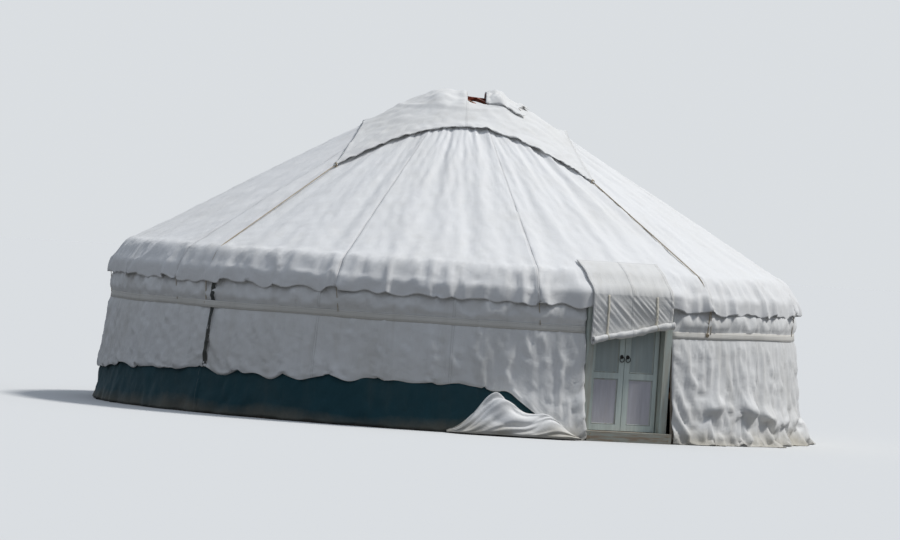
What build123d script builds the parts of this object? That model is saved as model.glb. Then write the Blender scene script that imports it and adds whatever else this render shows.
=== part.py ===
# A six-section felt yurt: a lattice wall, bent roof poles that meet in a crown ring,
# felt and canvas covers in strips, a skirt round the foot and a two-leaf door.
# Millimetres. The origin is at the middle of the floor, +Z is up and the door faces -Y.
from math import atan2, cos, degrees, hypot, radians, sin, tan
import os

from build123d import *

# The round plan: one bay for each roof pole, counted from the right side of the door
BAYS = 44
DOOR_BAYS = 2
FIRST_BAY_START = 270 + 180 * DOOR_BAYS / BAYS
LATTICE_SECTIONS = 6
WALL_STRIPS = 5
ROOF_SECTORS = 11
POLE_BUNDLES = 4

# The wall
BASE_RADIUS = 3750
WALL_HEIGHT = 1480
WALL_LEAN = 5.3
WALL_COVER_THICKNESS = 25
LAYER_GAP = 0.3

# The lattice
LATTICE_THICKNESS = 22
LATH_WIDTH = 34
LATTICE_ROWS = 3

# The hem of the wall cover is drawn up over the skirt along a slanting line, on the
# side left of the door
SKIRT_STRIPS = 2
HEM_HEIGHT_AT_LIMB = 470
HEM_HEIGHT_AT_DOOR = 300
HEM_HIGH_ANGLE = 195

# The roof poles: a straight run, a bend and a short steep foot
ROOF_SLOPE = 30
POLE_FOOT_SLOPE = 70
POLE_FOOT_LENGTH = 60
POLE_BEND_RADIUS = 320
POLE_BEND_PARTS = 3
POLE_DEPTH = 32
POLE_WIDTH = 30

# The roof cover
ROOF_COVER_THICKNESS = 20
ROOF_HEM_DROP = 90
ROOF_TOP_MARGIN = 25

# The crown: a mortised ring and crossed bars bent to a dome
CROWN_RADIUS = 720
CROWN_RING_WIDTH = 70
CROWN_RING_HEIGHT = 90
MORTISE_DEPTH = 40
CROWN_RISE = 150
CROWN_BARS = 3
CROWN_BAR_SPACING = 170
CROWN_BAR_WIDTH = 30
CROWN_BAR_THICKNESS = 24
CROWN_BAR_PARTS = 6

# The crown cover: a square cloth whose edges are drawn in between its tied corners,
# with a smoke slot in it and a strip beside the slot folded back over the rest
CROWN_COVER_OVERLAP = 660
CROWN_COVER_EDGE_BOW = 290
CROWN_COVER_TURN = -29
CROWN_COVER_THICKNESS = 10
CROWN_COVER_BAYS = 2
DOME_PARTS = 3
DOME_SAG = 12
SMOKE_SLOT_WIDTH = 190
SMOKE_SLOT_END_MARGIN = 145
SMOKE_SLOT_ASIDE = 110
CROWN_FOLD_WIDTH = 420

# The door: a frame of four pieces and two leaves that swing inwards on pivots
FRAME_DEPTH = 110
JAMB_WIDTH = 85
THRESHOLD_HEIGHT = 100
LINTEL_HEIGHT = 95
LEAF_THICKNESS = 36
LEAF_GAP = 6
PIVOT_RADIUS = 11
PIVOT_LENGTH = 35
PIVOT_CLEARANCE = 0.3
STILE_WIDTH = 62
PANEL_RECESS = 10
MIDDLE_RAIL_HEIGHT = 560

# The door flap, rolled up along a slanting line
FLAP_SIDE_MARGIN = 27
FLAP_THICKNESS = 12
FLAP_ROOF_RUN = 140
FLAP_DROP_LEFT = 470
FLAP_DROP_RIGHT = 310
FLAP_ROLL_RADIUS = 34

# The belt round the wall cover
BELT_DROP = 320
BELT_WIDTH = 75
BELT_THICKNESS = 4


BAY = 360 / BAYS
HALF_BAY = BAY / 2
WALL_BAYS = BAYS - DOOR_BAYS
CROWN_COVER_SIDE = 2 * (CROWN_RADIUS + CROWN_COVER_OVERLAP)
SMOKE_SLOT_LENGTH = 2 * (CROWN_RADIUS - SMOKE_SLOT_END_MARGIN)

# Blocks that cut are wider than the whole tent, and hang from or stand on a level
WIDE = 4 * BASE_RADIUS
HANGING = (Align.CENTER, Align.CENTER, Align.MAX)
STANDING = (Align.CENTER, Align.CENTER, Align.MIN)


def bay_angle(bay):
    """The angle about the axis of the start of a bay, in degrees."""
    return FIRST_BAY_START + bay * BAY


def around(angle, radius, height):
    """A point at an angle about the axis."""
    return Vector(radius * cos(radians(angle)), radius * sin(radians(angle)), height)


def shares(bays, count):
    """Where each of so many equal runs of bays starts, and where the last one ends."""
    return [round(bays * i / count) for i in range(count + 1)]


def ring_piece(profile, bays):
    """A faceted piece of a ring, from a profile of (radius, height) and its bay limits."""
    outlines = [[around(bay_angle(bay), *point) for point in profile] for bay in bays]
    closed = abs(bays[-1] - bays[0] - BAYS) < 1e-6
    faces = []
    if not closed:
        faces = [Face(Wire.make_polygon(outlines[0])), Face(Wire.make_polygon(outlines[-1]))]
    for near, far in zip(outlines, outlines[1:]):
        for i in range(len(profile)):
            j = (i + 1) % len(profile)
            corners = [near[i], near[j], far[j], far[i]]
            if profile[i][0] < 1e-6:
                corners = [near[i], near[j], far[j]]
            if profile[j][0] < 1e-6:
                corners = [near[i], near[j], far[i]]
            if max(profile[i][0], profile[j][0]) > 1e-6:
                faces.append(Face(Wire.make_polygon(corners)))
    return Solid(Shell(faces))


def bays_between(first, last):
    """Every bay limit from one bay to another."""
    return [first + i for i in range(last - first + 1)]


def offset_path(points, distance):
    """A line of (radius, height) points moved sideways, to its left for a positive distance."""
    moved = []
    for i, point in enumerate(points):
        before = points[max(i - 1, 0)]
        after = points[min(i + 1, len(points) - 1)]
        sides = []
        for start, end in ((before, point), (point, after)):
            length = hypot(end[0] - start[0], end[1] - start[1])
            if length > 0:
                sides.append(((start[1] - end[1]) / length, (end[0] - start[0]) / length))
        normal = (sum(s[0] for s in sides), sum(s[1] for s in sides))
        size = hypot(*normal)
        normal = (normal[0] / size, normal[1] / size)
        stretch = 1 / (normal[0] * sides[0][0] + normal[1] * sides[0][1])
        moved.append((point[0] + normal[0] * distance * stretch,
                      point[1] + normal[1] * distance * stretch))
    return moved


def standing_face(points):
    """A face in the upright plane through the axis and +X, from (radius, height) points."""
    return Face(Wire.make_polygon([Vector(x, 0, z) for x, z in points]))


def slab(points, width):
    """A piece of constant width, its outline upright and its middle in the XZ plane."""
    return extrude(standing_face(points), amount=width / 2, dir=(0, 1, 0), both=True)


def write(name, *solids):
    """Write one node: one solid, or several that don't touch."""
    shape = solids[0] if len(solids) == 1 else Compound(children=list(solids))
    shape.label = name
    export_step(shape, f"parts/{name}.step")


# The wall cover, the skirt and the lattice
def wall_radius(height, depth=0):
    """The wall's radius at a height, so far in from the cover's outer face."""
    return BASE_RADIUS - height * tan(radians(WALL_LEAN)) - depth


def wall_profile(outer_depth, inner_depth, low, high):
    """The upright section of a layer of the wall."""
    return [
        (wall_radius(low, outer_depth), low),
        (wall_radius(high, outer_depth), high),
        (wall_radius(high, inner_depth), high),
        (wall_radius(low, inner_depth), low),
    ]


def hem_wedge(gap):
    """Everything below the slanting line of the drawn-up hem, moved up by a gap."""
    door_edge = bay_angle(WALL_BAYS)
    turn = cos(radians(door_edge - HEM_HIGH_ANGLE))
    swing = (HEM_HEIGHT_AT_LIMB - HEM_HEIGHT_AT_DOOR) / (1 - turn)
    middle = HEM_HEIGHT_AT_LIMB - swing
    tilt = degrees(atan2(swing, BASE_RADIUS))
    block = Box(WIDE, WIDE, WIDE, align=HANGING)
    return Pos(0, 0, middle + gap) * Rot(0, 0, HEM_HIGH_ANGLE) * Rot(0, -tilt, 0) * block


def build_wall():
    """The wall cover in strips, with the skirt below the drawn-up hem of the last ones."""
    profile = wall_profile(0, WALL_COVER_THICKNESS, 0, WALL_HEIGHT)
    limits = shares(WALL_BAYS, WALL_STRIPS)
    first_skirt = WALL_STRIPS - SKIRT_STRIPS
    for i in range(WALL_STRIPS):
        strip = ring_piece(profile, bays_between(limits[i], limits[i + 1]))
        if i >= first_skirt:
            write(f"base_skirt_{i - first_skirt + 1}", (strip & hem_wedge(0)).solid())
            strip = (strip - hem_wedge(LAYER_GAP)).solid()
        write(f"wall_cover_{i + 1}", strip)


LATTICE_DEPTH = WALL_COVER_THICKNESS + LAYER_GAP


def lattice_bay():
    """One flat bay of crossed laths, about the +X axis."""
    foot = wall_radius(0, LATTICE_DEPTH)
    head = wall_radius(WALL_HEIGHT, LATTICE_DEPTH)
    half = radians(HALF_BAY)
    run = (foot - head) * cos(half)
    height = hypot(WALL_HEIGHT, run)
    row = height / LATTICE_ROWS

    def half_width(up):
        return (foot + (head - foot) * up / height) * sin(half)

    laths = Sketch()
    for k in range(LATTICE_ROWS):
        low, high = half_width(k * row), half_width((k + 1) * row)
        for side in (-1, 1):
            angle = degrees(atan2(row, side * (low + high)))
            middle = (side * (high - low) / 2, (k + 0.5) * row)
            laths += Pos(*middle) * Rot(0, 0, angle) * Rectangle(2 * row, LATH_WIDTH)
    foot_left, foot_right = (-half_width(0), 0), (half_width(0), 0)
    head_left, head_right = (-half_width(height), height), (half_width(height), height)
    laths &= make_face(Polyline(foot_left, foot_right, head_right, head_left, close=True))
    slope = atan2(run, WALL_HEIGHT)
    facet = Plane(origin=(foot * cos(half), 0, 0), x_dir=(0, 1, 0), z_dir=(cos(slope), 0, sin(slope)))
    thick = extrude(facet * laths, amount=-LATTICE_THICKNESS)
    reach = WIDE * cos(half), WIDE * sin(half)
    wedge = make_face(Polyline((0, 0), (reach[0], -reach[1]), reach, close=True))
    return (thick & extrude(wedge, amount=WALL_HEIGHT)).solid()


def build_lattice():
    """The lattice in sections, its laths fused where they cross."""
    bay = lattice_bay()
    limits = shares(WALL_BAYS, LATTICE_SECTIONS)
    for i in range(LATTICE_SECTIONS):
        turned = [Rot(0, 0, bay_angle(b) + HALF_BAY) * bay for b in range(limits[i], limits[i + 1])]
        write(f"lattice_{i + 1}", turned[0].fuse(*turned[1:]).solid())


# The roof poles and what lies on them
LATTICE_TOP_MIDDLE = wall_radius(WALL_HEIGHT, LATTICE_DEPTH + LATTICE_THICKNESS / 2)
POLE_SEAT = WALL_HEIGHT + LAYER_GAP


def pole_line():
    """The middle line of a roof pole, from just below its seat to its tip."""
    steep, slope = radians(POLE_FOOT_SLOPE), radians(ROOF_SLOPE)
    foot = (LATTICE_TOP_MIDDLE + POLE_DEPTH * cos(steep), POLE_SEAT - POLE_DEPTH * sin(steep))
    up = POLE_DEPTH + POLE_FOOT_LENGTH
    bend = (foot[0] - up * cos(steep), foot[1] + up * sin(steep))
    middle = (bend[0] - POLE_BEND_RADIUS * sin(steep), bend[1] - POLE_BEND_RADIUS * cos(steep))
    points = [foot]
    for i in range(POLE_BEND_PARTS + 1):
        angle = steep + (slope - steep) * i / POLE_BEND_PARTS
        points.append((middle[0] + POLE_BEND_RADIUS * sin(angle),
                       middle[1] + POLE_BEND_RADIUS * cos(angle)))
    tip = CROWN_RADIUS - MORTISE_DEPTH
    points.append((tip, points[-1][1] + (points[-1][0] - tip) * tan(slope)))
    return points


POLE_LINE = pole_line()
RIDGE_LIFT = POLE_WIDTH / 2 * tan(radians(HALF_BAY)) + LAYER_GAP
CROWN_RING_MIDDLE = POLE_LINE[-1][1] - (MORTISE_DEPTH / 2) * tan(radians(ROOF_SLOPE))
CROWN_RING_TOP = CROWN_RING_MIDDLE + CROWN_RING_HEIGHT / 2


def band(line, below, above):
    """A band along a line that runs towards the axis: its outline as one loop of points."""
    return offset_path(line, below) + offset_path(line, -above)[::-1]


def build_poles():
    """The roof poles, one at each bay limit, cut off level where they sit on the wall."""
    below = Pos(0, 0, POLE_SEAT) * Box(WIDE, WIDE, WIDE, align=HANGING)
    pole = slab(band(POLE_LINE, POLE_DEPTH / 2, POLE_DEPTH / 2), POLE_WIDTH) - below
    limits = shares(BAYS, POLE_BUNDLES)
    for i in range(POLE_BUNDLES):
        poles = [Rot(0, 0, bay_angle(b)) * pole for b in range(limits[i], limits[i + 1])]
        write(f"roof_poles_{i + 1}", *poles)


def roof_line():
    """The inner line of the roof cover, from its hem to its top edge."""
    lifted = offset_path(POLE_LINE, -(POLE_DEPTH / 2 + RIDGE_LIFT))
    slope = tan(radians(ROOF_SLOPE))
    top = CROWN_RADIUS + ROOF_TOP_MARGIN
    hem = WALL_HEIGHT - ROOF_HEM_DROP
    eave = WALL_HEIGHT + WALL_COVER_THICKNESS / 2
    return [
        (wall_radius(hem, -BELT_THICKNESS), hem),
        (wall_radius(eave, -BELT_THICKNESS), eave),
        *lifted[1:-1],
        (top, lifted[-1][1] - (top - lifted[-1][0]) * slope),
    ]


ROOF_LINE = roof_line()
SECTOR_START = WALL_BAYS + DOOR_BAYS / 2 - BAYS / ROOF_SECTORS / 2


def lattice_head():
    """The radius of the lattice's inner face at its top."""
    return wall_radius(WALL_HEIGHT, LATTICE_DEPTH + LATTICE_THICKNESS)


def door_half_width():
    """Half the width between the lattice's ends, where the door frame stands."""
    return lattice_head() * sin(radians(HALF_BAY * DOOR_BAYS)) - LAYER_GAP


DOOR_HALF_WIDTH = door_half_width()
FRAME_BACK = lattice_head() * cos(radians(HALF_BAY * DOOR_BAYS))
FRAME_FRONT = FRAME_BACK + FRAME_DEPTH


def build_roof_cover():
    """The roof cover in sectors, the first one cut out over the door frame."""
    profile = band(ROOF_LINE, 0, ROOF_COVER_THICKNESS)
    over_door = Pos(0, -FRAME_BACK, 0) * Box(
        2 * (DOOR_HALF_WIDTH + LAYER_GAP), FRAME_BACK, WALL_HEIGHT + LAYER_GAP, align=STANDING)
    limits = shares(BAYS, ROOF_SECTORS)
    for i in range(ROOF_SECTORS):
        bays = [SECTOR_START + b for b in range(limits[i], limits[i + 1] + 1)]
        sector = ring_piece(profile, bays)
        if i == 0:
            sector = (sector - over_door).solid()
        write(f"roof_cover_{i + 1}", sector)


# The crown
def dome_radius(half_span, rise):
    """The radius of a ball that rises so far over half a span."""
    return (half_span ** 2 + rise ** 2) / (2 * rise)


def build_crown_ring():
    """The crown ring, with a mortise for the tip of every roof pole."""
    low, high = CROWN_RING_TOP - CROWN_RING_HEIGHT, CROWN_RING_TOP
    inner = CROWN_RADIUS - CROWN_RING_WIDTH
    profile = [(CROWN_RADIUS, low), (CROWN_RADIUS, high), (inner, high), (inner, low)]
    ring = ring_piece(profile, [i - 0.5 for i in range(BAYS + 1)])
    room = POLE_DEPTH / 2 + LAYER_GAP
    tip = POLE_LINE[-1]
    slope = radians(ROOF_SLOPE)
    past = (tip[0] - LAYER_GAP * cos(slope), tip[1] + LAYER_GAP * sin(slope))
    outside = (tip[0] + 3 * MORTISE_DEPTH * cos(slope), tip[1] - 3 * MORTISE_DEPTH * sin(slope))
    pocket = slab(band([outside, past], room, room), POLE_WIDTH + 2 * LAYER_GAP)
    write("crown_ring", ring.cut(*[Rot(0, 0, bay_angle(b)) * pocket for b in range(BAYS)]))


def build_crown_bars():
    """Two rows of crossed bars, bent to a dome, that stand on the ring's middle."""
    seat = CROWN_RADIUS - CROWN_RING_WIDTH / 2
    ball = dome_radius(seat, CROWN_RISE)
    centre = CROWN_RING_TOP + CROWN_RISE - ball
    above = Pos(0, 0, CROWN_RING_TOP) * Box(WIDE, WIDE, WIDE, align=STANDING)
    bars = []
    for i in range(CROWN_BARS):
        aside = (i - (CROWN_BARS - 1) / 2) * CROWN_BAR_SPACING
        radius = (ball ** 2 - aside ** 2) ** 0.5
        reach = degrees(atan2((seat ** 2 - aside ** 2) ** 0.5, ball - CROWN_RISE))
        line = []
        for k in range(CROWN_BAR_PARTS + 1):
            angle = radians(reach * (1 - 2 * k / CROWN_BAR_PARTS))
            line.append((radius * sin(angle), centre + radius * cos(angle)))
        bar = slab(band(line, CROWN_BAR_THICKNESS, 0), CROWN_BAR_WIDTH)
        bars.append(Pos(0, aside, 0) * bar)
        bars.append(Rot(0, 0, 90) * Pos(0, aside, 0) * bar)
    crossed = bars[0].fuse(*bars[1:])
    write("crown_bars", (crossed & above).solid())


def crown_cover_line():
    """The inner line of the crown cover, from below its lowest corner to the top."""
    slope = tan(radians(ROOF_SLOPE))
    lifted = offset_path(ROOF_LINE, -(ROOF_COVER_THICKNESS + LAYER_GAP))[-1]
    reach = CROWN_COVER_SIDE
    low = (reach, lifted[1] - (reach - lifted[0]) * slope)
    seat = CROWN_RADIUS - CROWN_RING_WIDTH / 2
    ball = dome_radius(seat, CROWN_RISE)
    top = CROWN_RING_TOP + CROWN_RISE + DOME_SAG + LAYER_GAP
    points = [low, lifted, (CROWN_RADIUS + LAYER_GAP, CROWN_RING_TOP + 2 * LAYER_GAP)]
    for i in range(DOME_PARTS):
        radius = seat * (1 - i / DOME_PARTS)
        points.append((radius, top - ball + (ball ** 2 - radius ** 2) ** 0.5))
    points.append((0, top))
    return points


def cap(line, inner, outer):
    """A closed cap over the crown between two offsets of its inner line, in wide facets
    whose middles keep to the line."""
    wide = 1 / cos(radians(HALF_BAY * CROWN_COVER_BAYS))
    low = offset_path(line, -inner)
    high = offset_path(line, -outer)
    low[-1] = (0, line[-1][1] + inner)
    high[-1] = (0, line[-1][1] + outer)
    profile = [(radius * wide, height) for radius, height in low + high[::-1]]
    return ring_piece(profile, list(range(0, BAYS + 1, CROWN_COVER_BAYS)))


def crown_cover_outline():
    """A square block with hollow sides, for the cloth's cut edge."""
    half = CROWN_COVER_SIDE / 2
    side = ThreePointArc((-half, -half), (0, CROWN_COVER_EDGE_BOW - half), (half, -half))
    edges = [Rot(0, 0, 90 * i) * side for i in range(4)]
    return extrude(make_face(edges), amount=WIDE)


def upright_block(aside, width, length):
    """A block from the floor to well above the crown."""
    return Pos(aside, 0, 0) * Box(width, length, WIDE, align=STANDING)


def build_crown_cover():
    """The crown cover with its smoke slot, and the strip folded back beside the slot."""
    line = crown_cover_line()
    turn = Rot(0, 0, CROWN_COVER_TURN)
    outline = crown_cover_outline()
    slot = upright_block(SMOKE_SLOT_ASIDE, SMOKE_SLOT_WIDTH, SMOKE_SLOT_LENGTH)
    sheet = (cap(line, 0, CROWN_COVER_THICKNESS) & (turn * outline)) - turn * slot
    write("crown_cover", sheet.solid())
    second = cap(line, CROWN_COVER_THICKNESS + LAYER_GAP, 2 * CROWN_COVER_THICKNESS)
    middle = SMOKE_SLOT_ASIDE + (SMOKE_SLOT_WIDTH + CROWN_FOLD_WIDTH) / 2
    strip = upright_block(middle, CROWN_FOLD_WIDTH, SMOKE_SLOT_LENGTH)
    write("crown_cover_fold", (second & (turn * strip)).solid())


# The door
def build_door_frame():
    """Two jambs between a threshold that reaches out to the wall's foot and a lintel that
    carries the feet of the poles over the door; both are bored for the leaves' pivots."""
    opening = DOOR_HALF_WIDTH - JAMB_WIDTH
    middle = -(FRAME_BACK + FRAME_DEPTH / 2)
    lintel_low = WALL_HEIGHT - LINTEL_HEIGHT
    jamb = Box(JAMB_WIDTH, FRAME_DEPTH, lintel_low - THRESHOLD_HEIGHT)
    height = (lintel_low + THRESHOLD_HEIGHT) / 2
    aside = DOOR_HALF_WIDTH - JAMB_WIDTH / 2
    write("door_jamb_left", Pos(-aside, middle, height) * jamb)
    write("door_jamb_right", Pos(aside, middle, height) * jamb)
    threshold_depth = BASE_RADIUS - FRAME_BACK
    threshold = Pos(0, -(FRAME_BACK + threshold_depth / 2), THRESHOLD_HEIGHT / 2) * Box(
        2 * DOOR_HALF_WIDTH, threshold_depth, THRESHOLD_HEIGHT)
    lintel = Pos(0, middle, WALL_HEIGHT - LINTEL_HEIGHT / 2) * Box(
        2 * DOOR_HALF_WIDTH, FRAME_DEPTH, LINTEL_HEIGHT)
    bore = Cylinder(PIVOT_RADIUS + PIVOT_CLEARANCE, PIVOT_LENGTH + PIVOT_CLEARANCE)
    for side in (-1, 1):
        x = side * pivot_aside(opening)
        threshold -= Pos(x, -PIVOT_LINE, THRESHOLD_HEIGHT - (PIVOT_LENGTH + PIVOT_CLEARANCE) / 2) * bore
        lintel -= Pos(x, -PIVOT_LINE, lintel_low + (PIVOT_LENGTH + PIVOT_CLEARANCE) / 2) * bore
    write("door_threshold", threshold)
    write("door_lintel", lintel)


PIVOT_LINE = FRAME_BACK + LEAF_THICKNESS / 2


def pivot_aside(opening):
    """How far each pivot stands from the door's middle."""
    return opening - LEAF_GAP - LEAF_THICKNESS / 2


def build_door_leaves():
    """Two leaves with rounded hanging edges, recessed panels and a pin at each end."""
    opening = DOOR_HALF_WIDTH - JAMB_WIDTH
    pivot = pivot_aside(opening)
    reach = pivot - LEAF_GAP / 2
    low = THRESHOLD_HEIGHT + LEAF_GAP
    high = WALL_HEIGHT - LINTEL_HEIGHT - LEAF_GAP
    tall = high - low
    leaf = Pos(reach / 2, 0, 0) * Box(reach, LEAF_THICKNESS, tall, align=STANDING)
    leaf += Cylinder(LEAF_THICKNESS / 2, tall, align=STANDING)
    panel_left = -LEAF_THICKNESS / 2 + STILE_WIDTH
    panel_width = reach - STILE_WIDTH - panel_left
    rows = (
        (STILE_WIDTH, MIDDLE_RAIL_HEIGHT - STILE_WIDTH / 2),
        (MIDDLE_RAIL_HEIGHT + STILE_WIDTH / 2, tall - STILE_WIDTH),
    )
    for bottom, top in rows:
        recess = Box(panel_width, PANEL_RECESS, top - bottom,
                     align=(Align.MIN, Align.CENTER, Align.MIN))
        for side in (-1, 1):
            leaf -= Pos(panel_left, side * (LEAF_THICKNESS - PANEL_RECESS) / 2, bottom) * recess
    pin_length = PIVOT_LENGTH + LEAF_GAP - PIVOT_CLEARANCE
    pin = Cylinder(PIVOT_RADIUS, pin_length, align=STANDING)
    leaf += Pos(0, 0, -pin_length) * pin
    leaf += Pos(0, 0, tall) * pin
    left = Pos(-pivot, -PIVOT_LINE, low) * leaf
    write("door_leaf_left", left)
    write("door_leaf_right", mirror(left, about=Plane.YZ))


def build_door_flap():
    """A cloth that lies on the roof's edge, hangs over the lintel and ends in a slanting
    roll. Its line is (y, height) in the middle plane, from the roll up to the roof."""
    hang = -FRAME_FRONT - LAYER_GAP
    outer = offset_path(ROOF_LINE, -(ROOF_COVER_THICKNESS + LAYER_GAP))
    hem, eave, first_bend, *run, top = [(-radius, height) for radius, height in outer]
    last = run[-1]
    length = hypot(top[0] - last[0], top[1] - last[1])
    share = FLAP_ROOF_RUN / length
    run.append((last[0] + (top[0] - last[0]) * share, last[1] + (top[1] - last[1]) * share))
    low, high = WALL_HEIGHT - FLAP_DROP_LEFT, WALL_HEIGHT - FLAP_DROP_RIGHT
    line = [(hang, low), (hang, run[0][1] - (run[0][0] - hang))] + run
    outline = line + offset_path(line, FLAP_THICKNESS)[::-1]
    sheet = Face(Wire.make_polygon([Vector(0, y, z) for y, z in outline]))
    width = 2 * (DOOR_HALF_WIDTH - FLAP_SIDE_MARGIN)
    flap = extrude(sheet, amount=width / 2, dir=(1, 0, 0), both=True)
    tilt = degrees(atan2(high - low, width))
    middle = (high + low) / 2
    below = Box(WIDE, 8 * FLAP_ROLL_RADIUS, width, align=HANGING)
    flap -= Pos(0, hang, middle) * Rot(0, -tilt, 0) * below
    roll = Rot(0, 90, 0) * Cylinder(FLAP_ROLL_RADIUS, width)
    flap += Pos(0, hang - FLAP_ROLL_RADIUS, middle) * Rot(0, -tilt, 0) * roll
    write("door_flap", flap.solid())


def build_belt():
    """The belt, from one side of the door round to the other."""
    top = WALL_HEIGHT - BELT_DROP
    outer = BELT_THICKNESS + LAYER_GAP
    profile = wall_profile(-outer, -LAYER_GAP, top - BELT_WIDTH, top)
    write("wall_belt", ring_piece(profile, bays_between(0, WALL_BAYS)))


os.makedirs("parts", exist_ok=True)
build_wall()
build_lattice()
build_poles()
build_roof_cover()
build_crown_ring()
build_crown_bars()
build_crown_cover()
build_door_frame()
build_door_leaves()
build_door_flap()
build_belt()
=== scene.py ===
import math

import bmesh
import bpy
import numpy as np
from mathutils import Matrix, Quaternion, Vector


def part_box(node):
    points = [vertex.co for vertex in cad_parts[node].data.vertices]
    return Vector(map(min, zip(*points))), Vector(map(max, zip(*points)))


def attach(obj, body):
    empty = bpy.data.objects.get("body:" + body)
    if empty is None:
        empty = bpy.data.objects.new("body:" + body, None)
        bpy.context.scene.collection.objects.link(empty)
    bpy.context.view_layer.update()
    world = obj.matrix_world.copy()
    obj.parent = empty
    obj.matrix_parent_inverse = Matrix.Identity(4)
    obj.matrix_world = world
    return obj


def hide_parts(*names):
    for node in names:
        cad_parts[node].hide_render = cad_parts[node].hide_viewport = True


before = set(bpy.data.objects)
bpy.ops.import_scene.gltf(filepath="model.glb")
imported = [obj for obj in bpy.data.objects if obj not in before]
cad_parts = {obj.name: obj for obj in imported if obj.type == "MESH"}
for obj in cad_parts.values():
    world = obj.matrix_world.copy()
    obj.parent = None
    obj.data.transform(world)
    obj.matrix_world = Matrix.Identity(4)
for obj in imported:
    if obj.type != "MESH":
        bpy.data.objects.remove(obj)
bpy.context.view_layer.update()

# The studio. A plain pale floor, a soft key light from the yurt's right and a pale surround,
# seen nearly level from 30 degrees left of the door. The photograph leans by about four
# degrees, and so does the camera.
AIM = Vector((-0.05, 0.03, 1.60))
TO_KEY_LIGHT = Vector((0.535, -0.163, 0.829))
VIEW_AZIMUTH = math.radians(-30)
VIEW_ELEVATION = math.radians(0.6)
VIEW_DISTANCE = 70.0
towards_camera = Vector((
    math.sin(VIEW_AZIMUTH) * math.cos(VIEW_ELEVATION),
    -math.cos(VIEW_AZIMUTH) * math.cos(VIEW_ELEVATION),
    math.sin(VIEW_ELEVATION),
))
lens = bpy.data.cameras.new("camera")
lens.lens = 262
lens.sensor_width = 36
lens.clip_end = 400
camera = bpy.data.objects.new("camera", lens)
bpy.context.scene.collection.objects.link(camera)
camera.location = AIM + towards_camera * VIEW_DISTANCE
camera.rotation_mode = "QUATERNION"
lean = Quaternion((0, 0, 1), math.radians(3.8))
camera.rotation_quaternion = towards_camera.to_track_quat("Z", "Y") @ lean
bpy.context.scene.camera = camera
bpy.context.scene.view_settings.view_transform = "Standard"

key_data = bpy.data.lights.new("key_light", "SUN")
key_data.energy = 2.5
key_data.angle = math.radians(10)
key_data.color = (1.0, 0.985, 0.96)
key_light = bpy.data.objects.new("key_light", key_data)
key_light.rotation_euler = TO_KEY_LIGHT.to_track_quat("Z", "Y").to_euler()
bpy.context.scene.collection.objects.link(key_light)


def linked(tree, output, target):
    """Join an output to an input."""
    tree.links.new(output, target)


surround = bpy.data.worlds.new("surround")
bpy.context.scene.world = surround
surround.use_nodes = True
sky = surround.node_tree
sky.nodes.clear()
seen = sky.nodes.new("ShaderNodeBackground")
seen.inputs["Color"].default_value = (0.703, 0.731, 0.758, 1)
seen.inputs["Strength"].default_value = 1.0
soft_light = sky.nodes.new("ShaderNodeBackground")
heights = sky.nodes.new("ShaderNodeTexCoord")
parts = sky.nodes.new("ShaderNodeSeparateXYZ")
linked(sky, heights.outputs["Generated"], parts.inputs[0])
ramp = sky.nodes.new("ShaderNodeValToRGB")
ramp.color_ramp.elements[0].position = 0.50
ramp.color_ramp.elements[0].color = (0.066, 0.077, 0.101, 1)
ramp.color_ramp.elements[1].position = 0.92
ramp.color_ramp.elements[1].color = (0.455, 0.505, 0.585, 1)
lift = sky.nodes.new("ShaderNodeMath")
lift.operation = "MULTIPLY_ADD"
lift.inputs[1].default_value = 0.5
lift.inputs[2].default_value = 0.5
linked(sky, parts.outputs["Z"], lift.inputs[0])
linked(sky, lift.outputs[0], ramp.inputs["Fac"])
linked(sky, ramp.outputs["Color"], soft_light.inputs["Color"])
rays = sky.nodes.new("ShaderNodeLightPath")
choose = sky.nodes.new("ShaderNodeMixShader")
out = sky.nodes.new("ShaderNodeOutputWorld")
either = sky.nodes.new("ShaderNodeMath")
either.operation = "MAXIMUM"
linked(sky, rays.outputs["Is Camera Ray"], either.inputs[0])
linked(sky, rays.outputs["Is Glossy Ray"], either.inputs[1])
linked(sky, either.outputs[0], choose.inputs["Fac"])
linked(sky, soft_light.outputs[0], choose.inputs[1])
linked(sky, seen.outputs[0], choose.inputs[2])
linked(sky, choose.outputs[0], out.inputs["Surface"])

FLOOR_REACH = 150
floor_mesh = bpy.data.meshes.new("floor")
floor_corners = [
    (x * FLOOR_REACH, y * FLOOR_REACH, 0)
    for x, y in ((-1, -1), (1, -1), (1, 1), (-1, 1))
]
floor_mesh.from_pydata(floor_corners, [], [(0, 1, 2, 3)])
floor = bpy.data.objects.new("floor", floor_mesh)
bpy.context.scene.collection.objects.link(floor)
floor.location.z = -0.002
floor_paint = bpy.data.materials.new("floor")
floor_paint.use_nodes = True
floor_tree = floor_paint.node_tree
floor_tree.nodes.clear()
shown = floor_tree.nodes.new("ShaderNodeBsdfDiffuse")
shown.inputs["Color"].default_value = (0.686, 0.692, 0.687, 1)
unseen = floor_tree.nodes.new("ShaderNodeBsdfDiffuse")
unseen.inputs["Color"].default_value = (0.19, 0.19, 0.186, 1)
floor_rays = floor_tree.nodes.new("ShaderNodeLightPath")
floor_mix = floor_tree.nodes.new("ShaderNodeMixShader")
floor_out = floor_tree.nodes.new("ShaderNodeOutputMaterial")
linked(floor_tree, floor_rays.outputs["Is Camera Ray"], floor_mix.inputs["Fac"])
linked(floor_tree, unseen.outputs[0], floor_mix.inputs[1])
linked(floor_tree, shown.outputs[0], floor_mix.inputs[2])
linked(floor_tree, floor_mix.outputs[0], floor_out.inputs["Surface"])
floor_mesh.materials.append(floor_paint)


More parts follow.
